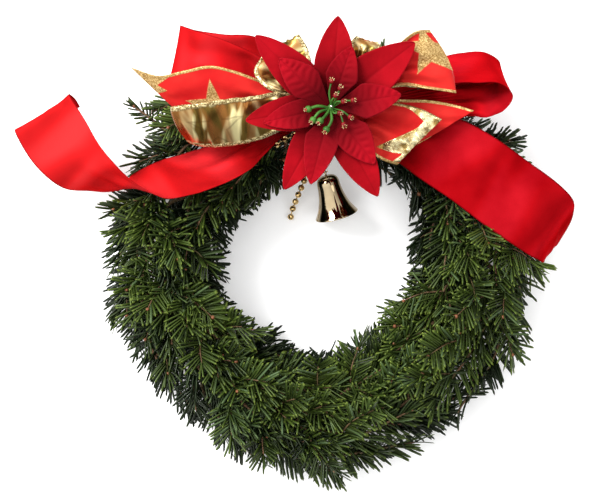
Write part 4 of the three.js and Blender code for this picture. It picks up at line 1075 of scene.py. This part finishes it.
# Stamens, pin and tie
stamens = {
    "heads": [(-19, -2, 10), (-15, -11, 9), (-9, -12, 12), (-4, -19, 10), (10, -14, 10), (15, -8, 9), (3, 8, 11),
              (9, 4, 11), (17, 5, 10), (7, 14, 11), (0, 20, 9), (6, -5, 9)],
    "open": {"stalk": 0.75, "head": 1.5, "tip": 2.3, "tipUp": 1.5},
    "closed": {"stalk": 1.25, "head": 3.0, "tip": 1.4, "tipUp": 2.6},  # thicker below, with a small red tip
    "threads": 6, "threadRadius": 0.26, "threadSteps": ((2.2, 0.8), (1.2, 0.5), (1.9, 1.6)),  # ahead, aside
}
stamenFloor = np.array(flowerMiddle) + (0, 0, 8.3)
pin = {"radius": 0.8, "head": 0.95, "length": 11}
tie = {"place": (7, 130), "turns": 34, "perTurn": 14, "core": 3.9, "wire": 0.85}


def plainMaterial(name, first, second, scale, rough, metal=0.0, bump=0.2, **more):
    material, tree = newMaterial(name)
    tone = remap(objectNoise(tree, scale), 0.35, 0.65)
    return finish(material, (objectNoise(tree, scale * 6, 2), bump, 0.0002), Base_Color=mix(tone, first, second),
                  Roughness=remap(tone, 0, 1, rough * 0.85, rough * 1.15), Metallic=metal, **more)


def ballMesh(middle, radius, stretch=(1, 1, 1), around=14):
    bm = bmesh.new()
    bmesh.ops.create_uvsphere(bm, u_segments=around, v_segments=8, radius=radius * mm)
    bmesh.ops.scale(bm, vec=Vector(stretch), verts=bm.verts)
    bmesh.ops.translate(bm, vec=rowVector(middle), verts=bm.verts)
    return meshFrom(bm, "ball")


def onwards(place, ahead, aside, far, out):  # far along ahead and out along aside
    return place + ahead * far + aside * out


def makeStamens():
    random = seededRandom(77)
    stemGreen = plainMaterial("stamen_green", (0.02, 0.075, 0.01), (0.055, 0.17, 0.025), 90, 0.4,
                              Specular_IOR_Level=0.2)
    red = plainMaterial("stamen_red", (0.09, 0.002, 0.003), (0.22, 0.006, 0.008), 300, 0.35, Specular_IOR_Level=0.2)
    pale = plainMaterial("stamen_filament", (0.5, 0.36, 0.12), (0.65, 0.52, 0.28), 400, 0.45)
    stalks, strings, parts = [], [], []
    for x, y, z in stamens["heads"]:
        out = np.array([x, y, 0]) / math.hypot(x, y)
        foot = stamenFloor + out * 2.0 + (0, 0, 1.2)
        head = stamenFloor + (x, y, z)
        aside = np.array([-out[1], out[0], 0]) * (random() - 0.5) * 7
        bend = foot * 0.45 + head * 0.55 + (0, 0, 2.6) + aside
        made = stamens["closed" if x < 0 and y < 0 else "open"]
        stalks.append((curvePoints([foot, bend, head], 10), made["stalk"]))
        lean = out * 0.8 - aside * 0.1 + np.array([0, 0, 0.75])
        lean /= np.linalg.norm(lean)
        first, second = np.cross(lean, [1, 0, 0]), np.cross(np.cross(lean, [1, 0, 0]), lean)
        for k in range(stamens["threads"]):
            turn = 2 * math.pi * (k + 0.5 * random()) / stamens["threads"]
            sideways = first * math.sin(turn) + second * math.cos(turn)
            toStart, toMiddle, toEnd = stamens["threadSteps"]
            start = onwards(head, lean, sideways, *toStart)
            middle, end = (onwards(start, lean, sideways, *step) for step in (toMiddle, toEnd))
            strings.append((curvePoints([start, middle, end], 3), stamens["threadRadius"]))
        parts.append((ballMesh(head, made["head"], (1, 1, 1.1)), 0))
        parts.append((ballMesh(head + lean * made["tipUp"], made["tip"]), 1))
    wires = [(wireMesh("stalks", stalks, sides=8), 0), (wireMesh("threads", strings, sides=4), 2)]
    cushion = (ballMesh(stamenFloor + (0, 0, 1.25), 2.8, (1, 1, 0.5), 20), 0)
    mesh = joinMeshes(wires + parts + [cushion], smooth=True)
    newPiece("poinsettia_stamen_cluster", mesh, "green_plastic", "poinsettia_stamens", stemGreen, red, pale)


def makePin():
    steel = plainMaterial("pin_steel", (0.55, 0.54, 0.52), (0.7, 0.69, 0.66), 200, 0.25, 1.0, 0.1)
    foot = stamenFloor + (0, 0, 2.5 + touchGap)
    stem = foot + np.array([(0, 0, up) for up in (0, 5, pin["length"])])
    stem = wireMesh("pin", [(stem, pin["radius"])], sides=12)
    head = ballMesh(foot + (0, 0, pin["length"] + 0.3), pin["head"], (1, 1, 0.7), 16)
    newPiece("flower_pin", joinMeshes([(stem, 0), (head, 0)]), "pin_steel", "centre_pin", steel)


def makeTie():
    steel = plainMaterial("tie_wire", (0.28, 0.27, 0.24), (0.42, 0.4, 0.36), 300, 0.35, 1.0, 0.3)
    low, high = ringTop + touchGap, flowerMiddle[2] - 1.5 - touchGap
    (x, y), reach, count = tie["place"], tie["core"] + 0.2, tie["turns"] * tie["perTurn"]
    places = []
    for i in range(count + 1):
        t = i / count
        a = 2 * math.pi * tie["turns"] * t
        places.append((x + reach * math.cos(a), y + reach * math.sin(a), low + 1.2 + (high - low - 2.4) * t))
    coil = wireMesh("coil", [(np.array(places), tie["wire"])], sides=8)
    post = wireMesh("post", [(np.array([(x, y, z) for z in (low, (low + high) / 2, high)]), tie["core"])], sides=16)
    newPiece("bow_tie_wire", joinMeshes([(coil, 0), (post, 0)]), "tie_wire", "bow_tie", steel)


# Bell, its wire, and the strings of beads
bell = {"crown": (3.6, 80.4, 29), "axis": (10, -36, -9.8), "segments": 96, "eye": 2.6, "eyeWire": 0.8, "eyeUp": 2.4}
bellOutside = [
    (0, 0), (2.6, 0.1), (5.2, 0.6), (7.6, 1.8), (9.2, 3.7), (10, 6), (10.3, 9), (10.6, 13), (11.2, 17), (12.2, 21.3),
    (13.5, 25.5), (14.8, 29), (16.4, 32), (18, 34.8), (19.3, 36.6), (19.5, 37.2), (19.5, 37.5),
]
bellInside = [(18.9, 37.5), (18.3, 37.1), (16.9, 34.6), (15.2, 32), (12.3, 25.5), (11, 21), (10, 17), (9.3, 12),
              (9, 9), (8.3, 6.4), (6.8, 4.6), (3.8, 3.6), (0, 3.4)]
chainPoints = [(4.1, 125.5, 44), (-4, 104, 40), (-11, 86, 32), (-15.5, 76, 24), (-22, 61, 13), (-26, 51, 6),
               (-28.4, 41, 3.3)]
strandPoints = [(2.4, 127.3, 56), (-14, 118, 57), (-28, 112, 57), (-37, 108, 55), (-41, 103, 52)]
beadCut = {"radius": 3.0, "pitch": 7.6, "thread": 0.55}


def spin(bm, profile, steps, closed=False):  # turns a profile of (out, up) round the upright axis
    line = [bm.verts.new((out * mm, 0, up * mm)) for out, up in profile]
    edges = [bm.edges.new(pair) for pair in zip(line, line[1:] + line[:1] if closed else line[1:])]
    bmesh.ops.spin(bm, geom=line + edges, cent=(0, 0, 0), axis=(0, 0, 1), angle=2 * math.pi, steps=steps)
    bmesh.ops.remove_doubles(bm, verts=bm.verts, dist=1e-6)


def placeAlong(origin, axis):  # stands upright things on the origin, along the axis
    return Matrix.Translation(rowVector(origin)) @ Vector(axis).to_track_quat("Z", "Y").to_matrix().to_4x4()


def turnedMesh(profile, origin, axis, segments):  # a profile turned round an axis, from the origin onwards
    bm = bmesh.new()
    spin(bm, profile, segments)
    bmesh.ops.transform(bm, matrix=placeAlong(origin, axis), verts=bm.verts)
    bmesh.ops.recalc_face_normals(bm, faces=bm.faces)
    return meshFrom(bm, "turned")


def chromeGold(name, low, high, rough, **more):
    material, tree = newMaterial(name)
    tone = remap(objectNoise(tree, 35), 0.35, 0.65)
    return finish(material, (objectNoise(tree, 140, 2), 0.08, 0.0006), Base_Color=mix(tone, low, high),
                  Metallic=1.0, Roughness=remap(tone, 0, 1, rough, rough * 1.6), **more)


def beadMesh(path):
    along, radius = lengthsAlong(path), beadCut["radius"]
    length = along[-1] - 2 * radius
    count = int(length // beadCut["pitch"])
    bm = bmesh.new()
    for i in range(count + 1):
        at = radius + i / count * length
        stations = [max(at - 0.5, 0), at, min(at + 0.5, along[-1])]
        before, middle, after = (resample(path, [station])[0] for station in stations)
        matrix = placeAlong(middle, after - before) @ Matrix.Rotation(i * 0.9, 4, "Z")
        bmesh.ops.create_icosphere(bm, subdivisions=2, radius=radius * mm, matrix=matrix)
    return meshFrom(bm, "beads", smooth=False)


def makeBell():
    gold = chromeGold("bell_gold", (0.34, 0.26, 0.15), (0.46, 0.37, 0.23), 0.04, Coat_Weight=0.3)
    beadGold = chromeGold("bead_gold", (0.5, 0.33, 0.13), (0.72, 0.52, 0.24), 0.1)
    crown, axis = Vector(bell["crown"]), Vector(bell["axis"]).normalized()
    shell = turnedMesh(bellOutside + bellInside, crown, axis, bell["segments"])
    ringShape = [(bell["eye"] + bell["eyeWire"] * math.cos(a), bell["eyeWire"] * math.sin(a))
                 for a in np.linspace(0, 2 * math.pi, 13)]
    loop = crown - axis * bell["eyeUp"]
    eye = turnedMesh(ringShape, loop, Vector((1, 0, 0)) - axis * axis.x, 32)  # upright, so that the wire goes through
    newPiece("bell_shell", joinMeshes([(shell, 0), (eye, 0)]), "gold_metal", "bell", gold)
    loop = np.array(loop)
    route = [(6.5, 124.7, 50), (4, 112, 47), loop + (-0.6, 8, 5.5), loop + (-2.4, 1.2, 1.6), loop,
             loop + (2.4, 1.4, 0.6)]
    hanger = wireMesh("hanger", [(curvePoints(route, 40), 0.6)], sides=12)
    newPiece("bell_hanger", hanger, "gold_metal", "bell_wire", beadGold)
    for name, points in (("bead_chain", chainPoints), ("bead_strand", strandPoints)):
        path = curvePoints(points, 200)
        length = lengthsAlong(path)[-1]
        inner = resample(path, np.linspace(2, length - 2, 60))
        thread = wireMesh("thread", [(inner, beadCut["thread"])], sides=8)
        thread = newPiece(f"{name}_thread", thread, "gold_bead", name, beadGold)
        string = newPiece(f"{name}_beads", beadMesh(path), "gold_bead", name, beadGold)


# Straw ring with its wrapping, and the green binding wire
wire = {"radius": 0.9}
straw = {"segments": 192, "around": 40, "sag": 0.9, "lumps": ((0.06, 1.1), (0.2, 0.5)), "dent": 2.6, "dentSpread": 9,
         "deepest": 2.4}


def strawMaterial():
    material, tree = newMaterial("wrapped_straw")
    height = put(tree, "ShaderNodeSeparateXYZ", Vector=objectPlace(tree)).outputs["Z"]
    moss = remap(plus(height, times(objectNoise(tree, 70, 4), 0.018)), 0.014, 0.024)
    around, = attributes(tree, "around")
    stalk = calc("SINE", times(plus(around, times(objectNoise(tree, 60, 2), 0.5)), 160.0))
    dry = mix(remap(stalk, -1, 1), (0.2, 0.12, 0.035), (0.5, 0.36, 0.13))
    green = mix(objectNoise(tree, 420, 4), (0.004, 0.012, 0.005), (0.03, 0.07, 0.02))
    rough = plus(times(stalk, 0.4), times(objectNoise(tree, 500, 4), 1.2))
    return finish(material, (rough, 0.8, 0.0015), Base_Color=mix(moss, dry, green), Roughness=0.9)


def windingPoints():  # the wire's turns over each bundle of stems and round the ring
    overs = [ringPoint(angle, way, fir["bundleLength"] * 0.35, ring["radius"], 0) for angle, way in sprayPlaces]
    angles = sorted(math.atan2(over[1], over[0]) % (2 * math.pi) for over in overs)
    overStems = ringTop + 2 * touchGap + 2 * fir["bundleRadius"] + wire["radius"] + 0.6
    under = wire["radius"] + touchGap
    section = [(0, overStems, 0), (-5.2, overStems - 2.3, 0.01), (-9.9, ringTop + 0.8, 0.02), (-16.3, 27, 0.05),
               (-19.8, 13, 0.1), (-16.8, under, 0.2), (16.8, under, 0.8), (19.8, 13, 0.9), (16.3, 27, 0.95),
               (9.9, ringTop + 0.8, 0.98), (5.2, overStems - 2.3, 0.99)]
    points = []
    for turn, start in enumerate(angles):
        end = angles[turn + 1] if turn + 1 < len(angles) else angles[0] + 2 * math.pi
        for out, z, onward in section:
            at = start + (end - start) * onward
            points.append(((ring["radius"] + out) * math.cos(at), (ring["radius"] + out) * math.sin(at), z))
    return np.array(points)


def makeRing():
    points = windingPoints()
    bm = bmesh.new()
    section = [(ring["radius"] + ring["halfWidth"] * math.cos(a),
                max(0.0, ring["middle"] + ring["halfHeight"] * math.sin(a)))
               for a in np.linspace(0, 2 * math.pi, straw["around"], endpoint=False)]
    spin(bm, section, straw["segments"], closed=True)
    around = bm.verts.layers.float.new("around")
    sunk = np.array([a + (b - a) * t for a, b in zip(points, np.roll(points, -1, axis=0))
                     for t in np.linspace(0, 1, max(2, int(np.linalg.norm(b - a) / 4)), endpoint=False)])
    for v in bm.verts:
        place = np.array(v.co) / mm
        angle = math.atan2(place[1], place[0])
        v[around] = math.atan2(place[2] - ring["middle"], math.hypot(place[0], place[1]) - ring["radius"])
        out = np.array([math.cos(angle), math.sin(angle), 0])
        away = place - out * ring["radius"] - (0, 0, ring["middle"])
        lumps = sum(noise.noise(Vector(place) * pace) * height for pace, height in straw["lumps"])
        nearest = float(((sunk - place) ** 2).sum(axis=1).min())
        dent = straw["dent"] * math.exp(-nearest / straw["dentSpread"])  # where the wire pulls in
        moved = place + away / np.linalg.norm(away) * (lumps - straw["sag"] - dent)
        if place[2] < 0.4:
            moved[2] = place[2] + min(dent, straw["deepest"])
        v.co = rowVector((moved[0], moved[1], max(0.0, moved[2])))
    bmesh.ops.recalc_face_normals(bm, faces=bm.faces)
    newPiece("wrapped_straw_ring", meshFrom(bm, "ring"), "straw", "straw_ring", strawMaterial())
    enamel = plainMaterial("green_wire", (0.01, 0.05, 0.015), (0.03, 0.1, 0.03), 200, 0.4, 0.3)
    coil = wireMesh("winding", [(points, wire["radius"])], closed=True, sides=8)
    newPiece("ring_winding", coil, "green_wire", "binding_wire", enamel)


makeFlower()
makeStamens()
makePin()
makeTie()
makeBell()
makeRing()
print("flower, bell and ring ready")
